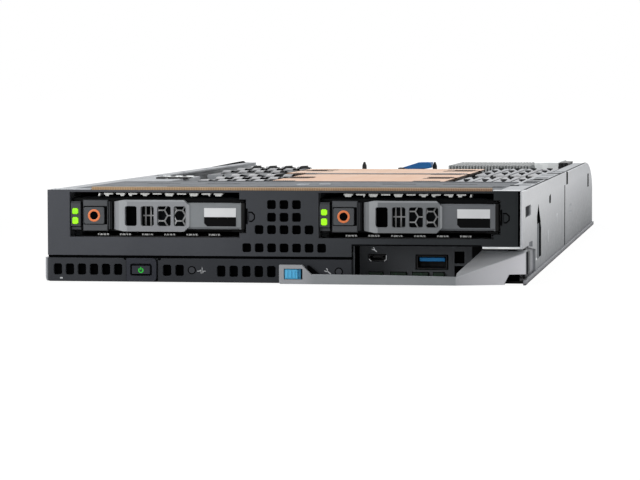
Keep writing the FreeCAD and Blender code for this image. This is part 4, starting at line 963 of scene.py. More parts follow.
def stamp_shade(side, centre):
    """Painted shade in the half-round stamp beside a bay and in the slot between it and the hinge."""
    left = centre + 41.5
    right = centre + 44.2
    low = 26.6
    high = 30.6
    bend = 1.2
    levels = PANEL_Y - 0.03, PANEL_Y + 0.35
    path = [(left, high), (right - bend, high), (right, high - bend), (right, low + bend),
            (right - bend, low), (left + 0.5, low)]
    slot = slab("front", box(centre + 40.5, centre + 41.3, 25.4, 32.2), *levels)
    piece(side + "_stamp_shade", [stroke("front", path, 0.5, *levels), slot], SEAL_AND_SHADE)


def window_shade_sheet(side, centre):
    """Black sheet of painted shade behind the handle's first window."""
    window = box(centre - 13.6, centre - 6.8, 23.9, 33.3)
    film = slab("front", window, CARRIER_FRONT - 0.2, CARRIER_FRONT - 0.05)
    carrier_trim(side, "window_shade_sheet", film, SEAL_AND_SHADE)


def light_frames(side, centre):
    """Black corners that round off the drive lights."""
    size = 0.5
    levels = LIGHT_FRONT - 0.06, LIGHT_FRONT + 0.04
    frames = [corner_fillets(centre - 36.6, centre - 33.9, low, high, size, *levels)
              for low, high in ((25.1, 28.1), (29.4, 32.0))]
    carrier_trim(side, "light_frames", frames, SEAL_AND_SHADE)


# Bezel, ports and lever trim

def power_sign():
    """Lit standby sign on the power button."""
    wide = 0.42
    levels = POWER_FRONT - 0.06, POWER_FRONT + 0.02
    open_circle = circle(POWER_X, POWER_Z - 0.2, radius=0.95, sides=18, start=125.0, turn=290.0)
    arc = stroke("front", open_circle, wide, *levels)
    bar = stroke("front", [(POWER_X, POWER_Z - 0.1), (POWER_X, POWER_Z + 1.15)], wide, *levels)
    piece("power_sign", [arc, bar], power_sign_glow(), body="power_button")


def power_rim():
    """Black rim round the power button's face and the dark joints of its block."""
    corners = centred(POWER_X, POWER_Z, 8.4, 4.0)
    rim = [stroke("front", [start, end], 0.45, POWER_FRONT - 0.04, POWER_FRONT + 0.05)
           for start, end in zip(corners, corners[1:] + corners[:1])]
    piece("power_rim", rim, SEAL_AND_SHADE, body="power_button")
    joints = [slab("front", circle(x, 10.4, 0.85, 12, 180.0, 180.0), BEZEL_FRONT - 0.05, BEZEL_FRONT + 0.05)
              for x in (-68.9, -53.9)]
    for x, wide in ((-68.55, 0.22), (-54.8, 0.45)):
        joints.append(stroke("front", [(x, 9.8), (x, 0.6)], wide, BEZEL_FRONT - 0.03, BEZEL_FRONT + 0.05))
    piece("power_block_joints", joints, SEAL_AND_SHADE)


def lever_folds():
    """Folded lips along the lever's bar and foot, and a black sheet of painted shade behind its knee."""
    bar_lip = [(14.0, 3.25), (75.6, 3.25), (75.6, 3.75), (47.0, 4.15), (15.0, 4.3), (13.4, 4.3)]
    foot_lip = [(-0.4, FRONT_Y), (75.6, FRONT_Y), (95.6, FRONT_Y + 6.89), (95.6, FRONT_Y + 9.6),
                (75.6, FRONT_Y + 3.0), (-0.4, FRONT_Y + 3.0)]
    lips = [slab("front", bar_lip, FRONT_Y, FRONT_Y + 1.2), slab("plan", foot_lip, 0.05, 0.45)]
    piece("lever_folds", lips, LEVER, 0.12, "release_lever")
    knee = [(11.4, 6.0), (14.0, 4.2), (16.6, 4.2), (11.9, 8.0), (11.4, 8.0)]
    # Painted shade behind the knee.
    knee_shade = slab("front", knee, FRONT_Y + 2.0, FRONT_Y + 3.0)
    piece("lever_knee_shade", knee_shade, SEAL_AND_SHADE, body="release_lever")


def pulse_sign():
    """Health sign beside the first status light: a short pulse line."""
    x = STATUS_LIGHTS[0][0] + 4.2
    z = STATUS_LIGHTS[0][1] - 0.4
    steps = ((-1.8, 0.0), (-0.8, 0.0), (-0.45, 0.5), (-0.1, -1.0), (0.3, 1.7), (0.65, -0.7), (0.95, 0.0),
             (1.9, 0.0))
    path = [(x + u, z + v) for u, v in steps]
    line = stroke("front", path, 0.24, BEZEL_FRONT - 0.04, BEZEL_FRONT + 0.02)
    piece("pulse_sign", line, SIGN)


def spanner_sign(name, x, z, size, face_y, ink):
    """Service sign: a slanted spanner with an open jaw."""
    lean = Matrix.Rotation(math.radians(-40), 2)
    shank = [(1.5, 0.0), (-0.6, 0.0)]
    jaw = circle(-1.15, 0.0, radius=0.62, sides=12, start=-130.0, turn=260.0)
    parts = []
    for points, wide in ((shank, 0.5), (jaw, 0.36)):
        path = [Vector((x, z)) + size * (lean @ Vector(point)) for point in points]
        parts.append(stroke("front", path, wide * size, face_y - 0.04, face_y + 0.02))
    piece(name, parts, ink)


def service_signs():
    """Spanner signs beside the second status light and over the small port."""
    x, z = STATUS_LIGHTS[1]
    spanner_sign("service_sign", x - 4.6, z - 0.1, 1.0, BEZEL_FRONT, SIGN)
    spanner_sign("small_port_sign", MICRO_X - 1.2, 13.6, 0.8, PORT_Y, RECESS_PAINTED_GLOW)


def status_rims():
    """Dark rims round the two status lights."""
    inner = STATUS_RADIUS - 0.05
    outer = STATUS_RADIUS + 0.4
    back = BEZEL_FRONT + 0.02
    profile = [(inner, BEZEL_FRONT - 0.24), (outer, BEZEL_FRONT - 0.1), (outer, back), (inner, back)]
    piece("status_rims", [ring("front", x, z, profile) for x, z in STATUS_LIGHTS], SEAL_AND_SHADE)


def port_contacts():
    """The small port's black tongue and the gold contacts under the blue one."""
    tongue = slab("front", centred(MICRO_X, MICRO_Z + 0.35, 4.6, 0.6), PORT_Y + 0.6, PORT_Y + 7.0)
    piece("small_port_tongue", tongue, BLACK, 0.08)
    contacts = [slab("front", centred(USB_X + offset, USB_Z + 0.3, 1.0, 0.14), PORT_Y + 4.5, PORT_Y + 8.6)
                for offset in (-3.5, -1.0, 1.0, 3.5)]
    piece("port_contacts", contacts, GOLD)


def small_port_rim():
    """Painted highlights on the ends of the small port's shell, in the recess ink's painted glow."""
    ends = []
    for x, turn in ((35.5, 1), (42.9, -1)):
        path = [(x + turn * 0.7, 11.5), (x, 11.2), (x, 9.5), (x + turn * 0.9, 8.8)]
        ends.append(stroke("front", path, 0.26, PORT_Y - 0.25, PORT_Y + 0.05))
    piece("small_port_rim", ends, RECESS_PAINTED_GLOW)


# Panel trim

def gasket_tabs():
    """Folded tabs that hold the gasket at both ends of the panel's top edge."""
    for end, left, right, sheet in (("left", -102.2, -84.3, BAFFLE), ("right", 90.8, 102.3, STEEL)):
        tab = slab("plan", box(left, right, PANEL_Y + 0.1, -251.5), PANEL_TOP, PANEL_TOP + 0.35)
        sheet_trim(end + "_gasket_tab", tab, sheet, 0.1)


def panel_edge():
    """Folded edge at the panel's right end."""
    strip = box(PANEL_RIGHT - 0.2, PANEL_RIGHT + 0.75, 16.5, PANEL_TOP - 0.2)
    piece("panel_edge", slab("front", strip, PANEL_Y, PANEL_Y + 0.6), PANEL, 0.1)


def bezel_clip():
    """Pale clip tip at the bezel's lower left."""
    tip = [(-98.3, 1.3), (-96.9, 1.3), (-97.1, 1.9), (-98.1, 1.9)]
    clip = slab("front", tip, BEZEL_FRONT - 0.08, BEZEL_FRONT + 0.02)
    piece("bezel_clip", clip, SIGN, 0.03)


def seam_seals_and_shades():
    """Black foam under the panel and at its right edge, black sheets of painted shade behind the vents and
    in the port recess, and a painted shadow along the recess's top.
    """
    seals_and_shades = [
        slab("front", box(-WALL_OUT + 0.1, 30.0, 10.4, 11.6), BEZEL_FRONT + 1.2, PANEL_Y + 1.8),
        slab("front", box(PANEL_RIGHT, WALL_IN, 16.4, PANEL_TOP - 0.1), PANEL_Y + 1.2, PANEL_Y + 1.9),
        # Painted shade behind the port plate's last vents and on the recess's left side.
        slab("front", box(72.2, 77.5, 1.6, 13.8), PORT_Y + 1.0, PORT_Y + 1.5),
        slab("side", box(-254.9, PORT_Y - 0.1, 1.5, 16.1), 31.1, 31.27),
        # Painted shadow along the top of the port recess.
        slab("front", box(30.3, 86.0, 16.45, 17.05), PANEL_Y - 0.04, PANEL_Y + 0.1)]
    # Painted shade behind the panel vents, then behind the bezel vents.
    for corners in (box(-15.2, 15.6, 20.6, 36.4), box(-17.8, 19.6, 12.8, 17.7)):
        seals_and_shades.append(slab("front", corners, PANEL_Y + 2.05, PANEL_Y + 2.2))
    for left, right in ((-102.0, -70.0), (-53.2, -42.4), (-29.2, -1.6)):
        seals_and_shades.append(slab("front", box(left, right, 2.2, 8.3), BEZEL_FRONT + 2.25, BEZEL_FRONT + 2.4))
    piece("seam_seals_and_shades", seals_and_shades, SEAL_AND_SHADE)


def vent_fillets():
    """Rounded corners of the square vents in the panel and the bezel."""
    def rounded(left, low, wide, tall, face_y):
        """Fillets in one vent's corners, just behind the face."""
        reach = 0.05
        size = 0.75
        return corner_fillets(left - reach, left + wide + reach, low - reach, low + tall + reach, size,
                              face_y + 0.01, face_y + 0.5)

    side = 3.9
    middle = 0.9
    panel_pitch = 5.45
    fillets = []
    for z, count in ((33.9, 3), (28.45, 3), (23.1, 5), (15.25, 7)):
        for index in range(count):
            x = middle + (index - (count - 1) / 2) * panel_pitch
            fillets.append(rounded(x - side / 2, z - side / 2, side, side, PANEL_Y))
    piece("panel_vent_fillets", fillets, PANEL)
    wide = 3.8
    tall = 4.9
    fillets = []
    for first, pitch, count, low in ((-101.1, 5.38, 6, 3.0), (-52.4, 5.55, 2, 2.8), (-28.5, 5.5, 5, 2.6)):
        for index in range(count):
            fillets.append(rounded(first + index * pitch, low, wide, tall, BEZEL_FRONT))
    piece("bezel_vent_fillets", fillets, BEZEL)


def finger_tips():
    """Curled tips under the upper spring leaves, each over its own uneven span, and the end leaves of each
    strip.
    """
    tip_spans = [(0.1, 0.6), (0.45, 0.95), (0.05, 0.45), (0.25, 0.8), None, (0.05, 0.95), None, (0.05, 0.95),
            (0.75, 1.0), (0.1, 0.9)]
    pitch = 5.41
    wide = 3.85
    root = 38.05
    tip = 37.3
    rail = 38.6
    lean = 0.3
    tips = []
    for side, left in TOP_FINGERS_LEFT.items():
        for index, span in enumerate(tip_spans if side == "left" else tip_spans[::-1]):
            if span:
                start, end = (left + index * pitch + share * wide for share in span)
                leaf = [(start + lean, tip), (end - lean, tip), (end, root), (start, root)]
                tips.append(slab("front", leaf, FINGER_FRONT, FINGER_FRONT + 0.8))
    for low, high in ((-81.3, -80.2), (81.0, 82.0)):
        leaf = [(low, tip), (high - lean, tip), (high, rail), (low + lean, rail)]
        tips.append(slab("front", leaf, FINGER_FRONT, FINGER_FRONT + 5.0))
    piece("finger_tips", tips, SPRING, 0.1)


def finger_slits():
    """Slanted slits of painted shade that part the lower spring leaves."""
    leaves = 6
    pitch = 9.85
    uneven = 0.35
    slits = []
    for left in BOTTOM_FINGERS_LEFT.values():
        for index in range(leaves):
            start = left + index * pitch
            shift = uneven * (index % 3)
            for foot, lean in ((start + 0.7, 0.4), (start + 2.5 + shift, -0.3), (start + 4.0, -0.4)):
                path = [(foot, 20.3), (foot + lean, 21.1)]
                slits.append(stroke("front", path, 0.34, FINGER_FRONT - 0.03, FINGER_FRONT + 0.3))
    piece("finger_slits", slits, SEAL_AND_SHADE)


# Wall, pan and cage trim

def wall_pads():
    """Stamped pads on both side walls."""
    pads = [slab("side", corners, side * (WALL_OUT - 0.1), side * (WALL_OUT + 0.22)) for side in (-1, 1)
            for corners in (centred(-114.0, 13.2, 2.4, 6.0), centred(-52.0, 18.9, 3.0, 4.6))]
    sheet_trim("wall_pads", pads, STEEL, 0.18)


def corner_dent():
    """Shaded dent in the right wall over the lever's wing."""
    outline = [(-226.0, 14.7), (-208.0, 13.7), (-208.0, 16.2), (-226.0, 16.7)]
    sheet_trim("corner_dent", slab("side", outline, WALL_OUT - 0.4, WALL_OUT + 0.04), CAGE)


def flange_nose():
    """Front end of the pan's right flange under the lever."""
    nose = slab("plan", box(WALL_OUT, WALL_OUT + 1.2, -258.0, -247.0), 0.05, 2.0)
    sheet_trim("flange_nose", nose, PAN, 0.2)


def ledge_lip():
    """Painted highlights on the lips of the ledge over the lever and of the wall slot's foot."""
    lips = [slab("front", box(86.6, WALL_IN - 0.2, 15.5, 16.3), PANEL_Y - 0.12, PANEL_Y),
            slab("side", box(-189.6, -182.4, 6.2, 7.2), WALL_OUT - 0.1, WALL_OUT + 0.06)]
    sheet_trim("ledge_lip", lips, PALE_SHEET, 0.04)


def corner_gusset():
    """Gusset in the upper corner of the right wall's opening at the lever."""
    outline = [(-228.0, 14.4), (-190.0, 11.4), (-190.0, 15.6), (-228.0, 15.6)]
    sheet_trim("corner_gusset", slab("side", outline, WALL_OUT - 0.7, WALL_OUT - 0.02), RIGHT_WALL, 0.1)


def slot_outline(front, rear, low):
    """Lower part of the right wall's long slot, with its slanted top."""
    return [(front, low), (rear, low), (rear, 19.2), (-161.0, 22.4), (front, 22.4)]


def slot_backing():
    """Sheet of painted shade behind the right wall's long slot."""
    sheet = slab("side", slot_outline(-181.9, -156.1, 6.3), WALL_INFILL_IN, WALL_OUT - 0.3)
    sheet_trim("slot_backing", sheet, CAGE)


def wall_opening_shades():
    """Black sheets of painted shade in the openings of the side walls and in the seam strip."""
    keyhole = [(-106.0, 29.4), (-104.0, 28.4), (-97.0, 28.4), (-95.6, 30.6), (-97.0, 32.8), (-106.0, 31.8)]
    slot_point = [(-182, 22.4), (-160.8, 22.4), (-174, 31), (-182, 26)]
    proud = WALL_OUT + 0.03
    opening_shades = [slab("side", corners, side * WALL_INFILL_IN, side * proud) for side in (-1, 1)
             for corners in (keyhole, slot_point, box(211.2, 222.8, 25.2, 32.8))]
    notch = box(18.6, 30.2, 33.2, PANEL_TOP - 0.2)
    seam = box(3.6, 8.4, 2.2, 33.4)
    slot_end = slot_outline(-166.0, -156.2, 6.6)
    for corners, outer in ((notch, proud), (seam, WALL_OUT + 0.04), (slot_end, WALL_OUT - 0.2)):
        opening_shades.append(slab("side", corners, WALL_INFILL_IN, outer))
    piece("wall_opening_shades", opening_shades, SEAL_AND_SHADE)


def catch_outline():
    """Stamped catch in the rear length of the right wall."""
    outline = [(40, 16.8), (62, 16.8), (62, 18.0), (42.5, 18.0), (42.5, 20.3), (62, 20.3), (62, 21.5),
               (40, 21.5)]
    sheet_trim("catch_outline", slab("side", outline, WALL_INFILL_IN, WALL_OUT - 0.05), BAFFLE)


def fold_lines():
    """Shaded fold along the right wall's top edge, slots across its flange and two low tabs beside it."""
    foot = PANEL_TOP - 0.1
    top = PANEL_TOP + 0.03
    lines = [slab("plan", box(WALL_OUT - 1.5, WALL_OUT - 0.25, front, rear), foot, top)
             for front, rear in ((-240.0, 18.4), (30.4, 204.0))]
    slots = ((94.6, 101.2, -129.7), (95.2, 101.6, -154.0), (95.6, 102.2, -7.5), (95.8, 102.2, -99.0))
    for left, right, y in slots:
        lines.append(slab("plan", box(left, right, y - 7.0, y + 7.0), foot, top))
    for left, right, y in ((92.6, 96.4, -195.0), (86.4, 91.2, -214.0)):
        lines.append(slab("front", box(left, right, foot, PANEL_TOP + 0.3), y, y + 4.0))
    sheet_trim("fold_lines", lines, SHADED)


def roof_tabs():
    """Two pale tabs on the cage roof."""
    tabs = [slab("front", box(left, left + 5.0, PANEL_TOP - 0.1, PANEL_TOP + 0.4), y, y + 5.0)
            for left, y in ((-4.9, -192.0), (4.3, -186.0))]
    sheet_trim("roof_tabs", tabs, BAFFLE, 0.1)


def wall_crest():
    """Black sheet of painted shade along the rear top edge of the left wall."""
    outline = [(95.0, PANEL_TOP), (194.0, PANEL_TOP), (188.0, PANEL_TOP + 1.0), (170.0, PANEL_TOP + 0.9)]
    crest_shade = slab("side", outline, -WALL_OUT + 0.05, -WALL_IN - 0.05)
    piece("wall_crest", crest_shade, SEAL_AND_SHADE, 0.15)


def window_plates():
    """Spring plate behind the latch window of each wall, in painted shade."""
    inner = WALL_IN - 0.02
    plates = [slab("side", box(-234.0, -213.0, 25.5, 35.0), side * (inner - 0.8), side * inner)
              for side in (-1, 1)]
    sheet_trim("window_plates", plates, SHADED, 0.15)


def cage_beads():
    """Pressed beads near the front and at the rear edge of the cage roof."""
    beads = [slab("plan", box(-60.0, 91.4, front, rear), PANEL_TOP, PANEL_TOP + 0.3)
             for front, rear in ((-216.0, -203.0), (-149.6, -147.2))]
    sheet_trim("cage_beads", beads, CAGE, 0.14)


def baffle_clips():
    """Black clips with pale tops where the side baffle meets the cage."""
    places = (-86.5, -80.5, -75.0)
    clips = [slab("plan", centred(x, -108.0, 4.4, 9.0), PANEL_TOP, PANEL_TOP + 0.9) for x in places]
    tops = [slab("plan", centred(x + 1.0, -101.0, 3.4, 3.0), PANEL_TOP, PANEL_TOP + 1.2) for x in places]
    piece("baffle_clips", clips, LATCH_BLACK, 0.2)
    sheet_trim("baffle_clip_tops", tops, PALE_SHEET, 0.2)


# Cooling

def plate_lip():
    """Folded edge between the two heatsink covers."""
    piece("plate_lip", slab("plan", box(-33.0, 53.0, -0.6, 1.0), 39.0, 39.6), PAN, 0.12)


def fin_row(left, right, pitch, thick):
    """Middles of evenly spaced fins between two sides."""
    count = int((right - left - thick) / pitch) + 1
    first = (left + right - (count - 1) * pitch) / 2
    return [first + pitch * index for index in range(count)]


def fin_sheets():
    """Thin sheets that fill the gaps between the heavier fins, clear of the screw notches."""
    pitch = 5.2
    half = 0.15
    notch_reach = 14.1
    for row, sides, span, screws_y in zip(("front", "rear"), SINK_SIDES, SINK_SPANS, SINK_SCREWS_Y):
        start = span[0] + 0.4
        end = span[1] - 0.4
        cuts = [start] + [y + reach for y in screws_y for reach in (-NOTCH_HALF, NOTCH_HALF)] + [end]
        sheets = []
        for fin in fin_row(*sides, pitch, 0.6)[:-1]:
            for x in (fin + pitch / 3, fin + pitch * 2 / 3):
                inside = sides[0] + notch_reach < x < sides[1] - notch_reach
                for low, high in [(start, end)] if inside else zip(cuts[::2], cuts[1::2]):
                    sheets.append(slab("plan", box(x - half, x + half, low, high), SINK_BASE_TOP, SINK_TOP))
        piece(row + "_fin_sheets", sheets, FINS)


def sink_screw_caps():
    """Turned caps with a driver recess on the captive screws, each over its coil spring's cup."""
    base = SINK_BASE_TOP
    top = base + 8.0
    cup = [(3.9, base), (3.9, base + 0.8), (3.3, base + 1.0)]
    cap = [(2.7, top - 0.1), (2.7, top + 0.9), (2.3, top + 1.3), (1.3, top + 1.3), (1.1, top + 0.3)]
    caps = []
    for sides, screws_y in zip(SINK_SIDES, SINK_SCREWS_Y):
        for y in screws_y:
            for x in (sides[0] + SINK_SCREW_IN, sides[1] - SINK_SCREW_IN):
                caps += [turned("plan", x, y, profile) for profile in (cup, cap)]
    piece("sink_screw_caps", caps, PINS)


def cooler_fins():
    """Thin fins between the network cooler's heavier ones, a little lower at their tips."""
    pitch = 3.6
    fins = [slab("plan", centred(x + pitch / 2, 195.5, 0.8, 78.4), CARD_TOP + 3.0, COOLER_TOP - 0.05)
            for x in fin_row(24.0, 75.0, pitch, 0.8)[:-1]]
    piece("cooler_fins", fins, COOLER)


def notch_shade_fins():
    """Dark ribbed strips beside the screw notches: painted shade, ribbed like rows of bare fin tips, that
    makes the notches in the heatsink covers look longer.
    """
    spans = (((-33.0, -20.5), (37.5, 51.0)), ((-42.0, -27.0), (34.0, 50.0)))
    pitch = 1.1
    reach = 13.0
    top = 39.0
    fins = []
    for runs, screws_y in zip(spans, SINK_SCREWS_Y):
        for y in screws_y:
            for left, right in runs:
                for low, high in ((y - reach, y - NOTCH_HALF), (y + NOTCH_HALF, y + reach)):
                    fins.append(slab("plan", box(left, right, low, high), top - 0.1, top + 0.02))
                    for index in range(int((right - left) / pitch)):
                        x = left + pitch * (index + 0.5)
                        fins.append(slab("plan", box(x - 0.2, x + 0.2, low, high), top, top + 0.1))
    piece("notch_shade_fins", fins, copper_notch_shade())


# Memory trim

def blank_end_caps():
    """Black grips at the far ends of the rear left memory blanks."""
    top = BLANK_TOP
    caps = []
    for x in REAR_LEFT_COLUMNS:
        outline = [(x - 2.2, top), (x + 3.0, top), (x + 3.0, top + 1.7), (x - 0.8, top + 1.5)]
        caps.append(slab("front", outline, BLANK_END - 4.0, BLANK_END))
    piece("blank_end_caps", caps, LATCH_BLACK, 0.2)


def blank_ends():
    """Front faces of the rear memory blanks, paler on the right."""
    face = 18.6
    for side, columns, finish in (("right", RIGHT_COLUMNS, RIDGE), ("left", REAR_LEFT_COLUMNS, BAFFLE)):
        ends = [slab("front", box(x - 4.1, x + 4.1, 34.0, BLANK_TOP - 0.05), face - 0.2, face)
                for x in columns]
        piece(side + "_blank_ends", ends, finish, 0.06)


def pockets(rows):
    """Column and rear end of every pocket, for pairs of a row and its columns."""
    return [(x, FIRST_POCKET_END[row] + POCKET_PITCH * index)
            for row, columns in rows for x in columns for index in range(3)]


def blank_highlight_ridges():
    """White ridges as painted highlights beside black stops of painted shade at the blanks' left pockets,
    and low black lips of painted shade at the right ones.
    """
    top = BLANK_TOP
    ridge_top = top + 1.1
    lip_top = top + 0.4
    highlight_ridges = []
    shade_stops = []
    for x, end in pockets((("front", FRONT_LEFT_COLUMNS), ("rear", REAR_LEFT_COLUMNS))):
        y = end + 0.3
        ridge = [(x - 3.6, top), (x + 0.9, top), (x + 1.3, ridge_top), (x - 3.0, ridge_top)]
        stop = [(x + 1.1, top), (x + 5.2, top), (x + 4.4, top + 0.5), (x + 1.5, top + 0.95)]
        highlight_ridges.append(slab("front", ridge, y, y + 4.2))
        shade_stops.append(slab("front", stop, y, y + 3.0))
    for x, end in pockets((row, RIGHT_COLUMNS) for row in FIRST_POCKET_END):
        y = end + 0.05
        lip = [(x - 2.9, top), (x + 0.8, top), (x + 0.4, lip_top), (x - 2.5, lip_top)]
        shade_stops.append(slab("front", lip, y, y + 0.8))
    piece("blank_highlight_ridges", highlight_ridges, RIDGE, 0.15)
    piece("blank_shade_stops", shade_stops, SEAL_AND_SHADE)


# Board parts

def chips():
    """Packaged chips on the open parts of the main board, as (x, y, width, length, height)."""
    places = ((-72.0, 214.0, 27.0, 27.0, 2.4), (-38.0, 222.0, 15.0, 15.0, 1.6),
              (-44.0, 172.0, 12.0, 18.0, 1.5), (-86.0, 178.0, 9.0, 9.0, 1.4),
              (-8.0, 128.0, 9.0, 9.0, 1.2), (26.0, 131.0, 7.0, 11.0, 1.2),
              (4.0, 232.0, 12.0, 10.0, 1.4), (-20.0, 160.0, 10.0, 7.0, 1.2))
    made = [slab("plan", centred(x, y, wide, long), BOARD_TOP, BOARD_TOP + tall)
            for x, y, wide, long, tall in places]
    piece("board_chips", made, chip_epoxy(), 0.25)


def chokes():
    """Moulded chokes of the supply phases beside the processors and at the rear."""
    places = [(-24.0 + 11.0 * index, 120.0) for index in range(6)]
    places += [(-92.0, 196.0 + 11.0 * index) for index in range(4)]
    places += [(-14.0, 206.0 + 10.5 * index) for index in range(3)]
    made = [slab("plan", centred(x, y, 8.6, 8.6), BOARD_TOP, BOARD_TOP + 5.0) for x, y in places]
    piece("supply_chokes", made, choke_ferrite(), 0.7)


def capacitor_cans():
    """Aluminium cans on black feet."""
    places = [(-52.0 + 7.4 * index, 157.0) for index in range(5)]
    places += [(-26.0, 176.0 + 7.6 * index) for index in range(4)]
    places += [(-60.0 + 7.6 * index, 190.0) for index in range(4)]
    low = BOARD_TOP + 1.0
    profile = [(3.0, low), (3.15, low + 0.5), (2.9, low + 0.9), (3.15, low + 1.3), (3.15, low + 6.2),
               (2.8, low + 6.6)]
    feet = [slab("plan", centred(x, y, 6.6, 6.6), BOARD_TOP, low) for x, y in places]
    piece("capacitor_cans", [turned("plan", x, y, profile) for x, y in places], CAN)
    piece("capacitor_feet", feet, BLACK, 0.2)


def coin_cell():
    """Clock battery in its black holder."""
    place = (-74.0, 166.0)
    top = BOARD_TOP + 4.0
    holder = ring("plan", *place, [(10.2, BOARD_TOP), (12.2, BOARD_TOP), (12.2, top), (10.2, top)])
    piece("cell_holder", holder, BLACK, 0.2)
    profile = [(10.0, BOARD_TOP), (10.0, BOARD_TOP + 3.0), (9.6, BOARD_TOP + 3.2)]
    piece("clock_cell", turned("plan", *place, profile, sides=36), CAN)


def chip_dots():
    """Fields of small resistors and capacitors on the board and the card, as (x, y, columns, rows)."""
    board_fields = ((-66.0, 232.0, 6, 4), (-30.0, 196.0, 4, 5), (-6.0, 146.0, 8, 2), (-96.0, 152.0, 5, 3))
    card_fields = ((26.0, 238.5, 9, 3), (60.0, 238.5, 6, 3), (20.0, 160.0, 1, 14))
    for name, fields, top in (("board", board_fields, BOARD_TOP), ("card", card_fields, CARD_TOP)):
        dots = [slab("plan", centred(x + 2.4 * column, y + 1.8 * row, 1.6, 0.8), top, top + 0.7)
                for x, y, columns, rows in fields for column in range(columns) for row in range(rows)]
        piece(name + "_chip_parts", dots, CAN, 0.1)


def rear_contacts():
    """Gold blades in the rear connectors' slots."""
    low = 5.6
    pitch = 7.5
    blades = []
    for middle, wide, high in ((58.0, 60.0, 15.8), (-8.0, 34.0, 18.0), (-52.0, 34.0, 18.0)):
        count = int((wide - 4) / pitch)
        for index in range(count):
            x = middle + (index - (count - 1) / 2) * pitch
            for row in range(4):
                z = low + 2.6 + row * (high - low - 5.2) / 3
                blades.append(slab("front", centred(x, z, 0.7, 0.9), REAR_Y - 6.0, REAR_Y - 0.8))
    piece("rear_contacts", blades, GOLD)


dress_nodes()
for side, centre in BAYS.items():
    for make in (label_cards, button_ring, catch_ribs, boss_lip, bracket_flanges, stamp_shade, window_shade_sheet,
                 light_frames):
        make(side, centre)
for make in (power_sign, power_rim, lever_folds, pulse_sign, service_signs, status_rims, port_contacts,
             small_port_rim, gasket_tabs, panel_edge, bezel_clip, seam_seals_and_shades, vent_fillets, finger_tips,
             finger_slits, wall_pads, corner_dent, flange_nose, ledge_lip, corner_gusset, slot_backing,
             wall_opening_shades, catch_outline, fold_lines, roof_tabs, wall_crest, window_plates, cage_beads,
             baffle_clips, plate_lip, fin_sheets, sink_screw_caps, cooler_fins, blank_end_caps, blank_ends,
             blank_highlight_ridges, notch_shade_fins, chips, chokes, capacitor_cans, coin_cell, chip_dots, rear_contacts):
    make()


# Floor, light and camera

def floor_finish():
    """Pale floor: white to the lens far away, with a soft shadow near the sled."""
    made = bpy.data.materials.new("pale floor")
    made.use_nodes = True
    tree = made.node_tree
    tree.nodes.clear()
    matte = node(tree, "BsdfDiffuse", {"Color": (0.6, 0.6, 0.6, 1.0)}).outputs["BSDF"]
    white = node(tree, "Emission", {"Color": WHITE, "Strength": 1.1}).outputs["Emission"]
    place = node(tree, "TexCoord", {}).outputs["Object"]
    reach = node(tree, "VectorMath", {0: place}, "LENGTH").outputs["Value"]
    far = node(tree, "MapRange", {"Value": reach, "From Min": 0.4, "From Max": 1.2,
                                  "To Min": 0.85, "To Max": 1.0})
    lens_ray = node(tree, "LightPath", {}).outputs["Is Camera Ray"]
    part = node(tree, "Math", {0: lens_ray, 1: far.outputs["Result"]}, "MULTIPLY").outputs["Value"]
    share = node(tree, "MixShader", {0: part, 1: matte, 2: white}).outputs["Shader"]
    node(tree, "OutputMaterial", {"Surface": share})
    return made


def studio_floor():
    """Wide floor under the sled."""
    reach = 30.0
    made = bmesh.new()
    made.faces.new([made.verts.new((x, y, 0.0)) for x, y in box(-reach, reach, -reach, reach)])
    data = bpy.data.meshes.new("studio_floor")
    made.to_mesh(data)
    made.free()
    data.materials.append(floor_finish())
    floor = bpy.data.objects.new("studio_floor", data)
    bpy.context.scene.collection.objects.link(floor)


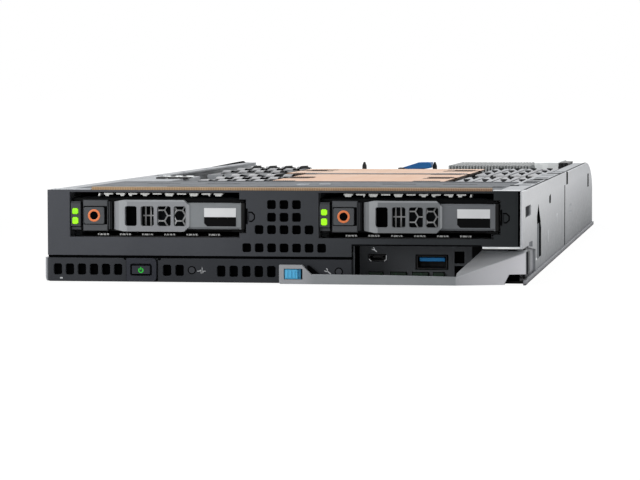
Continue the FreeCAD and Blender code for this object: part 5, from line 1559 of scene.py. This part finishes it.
def studio_world(fill):
    """White surroundings: full level to the lens, in mirrors and through clear parts, dimmer as light."""
    world = bpy.data.worlds.new("white room")
    world.use_nodes = True
    tree = world.node_tree
    path = node(tree, "LightPath", {}).outputs
    seen = path["Is Camera Ray"]
    for kind in ("Is Glossy Ray", "Is Transmission Ray"):
        seen = node(tree, "Math", {0: seen, 1: path[kind]}, "MAXIMUM").outputs["Value"]
    level = node(tree, "MapRange", {"Value": seen, "To Min": fill, "To Max": 1.0}).outputs["Result"]
    wire(tree, tree.nodes["Background"], {"Color": WHITE, "Strength": level})
    bpy.context.scene.world = world


def soft_box(name, place, aim, wide, tall, power):
    """Rectangular soft light."""
    data = bpy.data.lights.new(name, "AREA")
    data.shape = "RECTANGLE"
    data.size = wide
    data.size_y = tall
    data.energy = power
    lamp = bpy.data.objects.new(name, data)
    lamp.location = place
    lamp.rotation_euler = (Vector(aim) - Vector(place)).to_track_quat("-Z", "Y").to_euler()
    bpy.context.scene.collection.objects.link(lamp)


def lens():
    """Camera at the photograph's viewing angle."""
    azimuth = math.radians(9.244)
    elevation = math.radians(3.231)
    roll = math.radians(-0.137)
    aim = Vector((16.61, -258.5, 18.82)) * MM
    distance = 1102.16 * MM
    back = Vector((math.sin(azimuth) * math.cos(elevation), -math.cos(azimuth) * math.cos(elevation),
                   math.sin(elevation)))
    level = Vector((math.cos(azimuth), math.sin(azimuth), 0.0))
    upright = back.cross(level)
    right = level * math.cos(roll) + upright * math.sin(roll)
    up = upright * math.cos(roll) - level * math.sin(roll)
    data = bpy.data.cameras.new("lens")
    data.sensor_width = 36.0
    data.lens = 144.53
    data.clip_start = 0.05
    data.clip_end = 200.0
    camera = bpy.data.objects.new("lens", data)
    turn = Matrix((right, up, back)).transposed().to_4x4()
    camera.matrix_world = Matrix.Translation(aim + back * distance) @ turn
    bpy.context.scene.collection.objects.link(camera)
    bpy.context.scene.camera = camera


studio_floor()
studio_world(fill=0.3)
soft_box("top light", (0.1, 0.1, 1.4), (0.0, 0.1, 0.0), wide=1.8, tall=1.4, power=11.0)
soft_box("front left light", (-0.32, -0.54, 0.17), (-0.06, -0.26, 0.03), wide=0.26, tall=0.22, power=0.95)
soft_box("right light", (1.2, -0.42, 0.6), (0.1, -0.05, 0.02), wide=0.9, tall=0.9, power=4.0)
lens()
bpy.context.scene.view_settings.view_transform = "Standard"
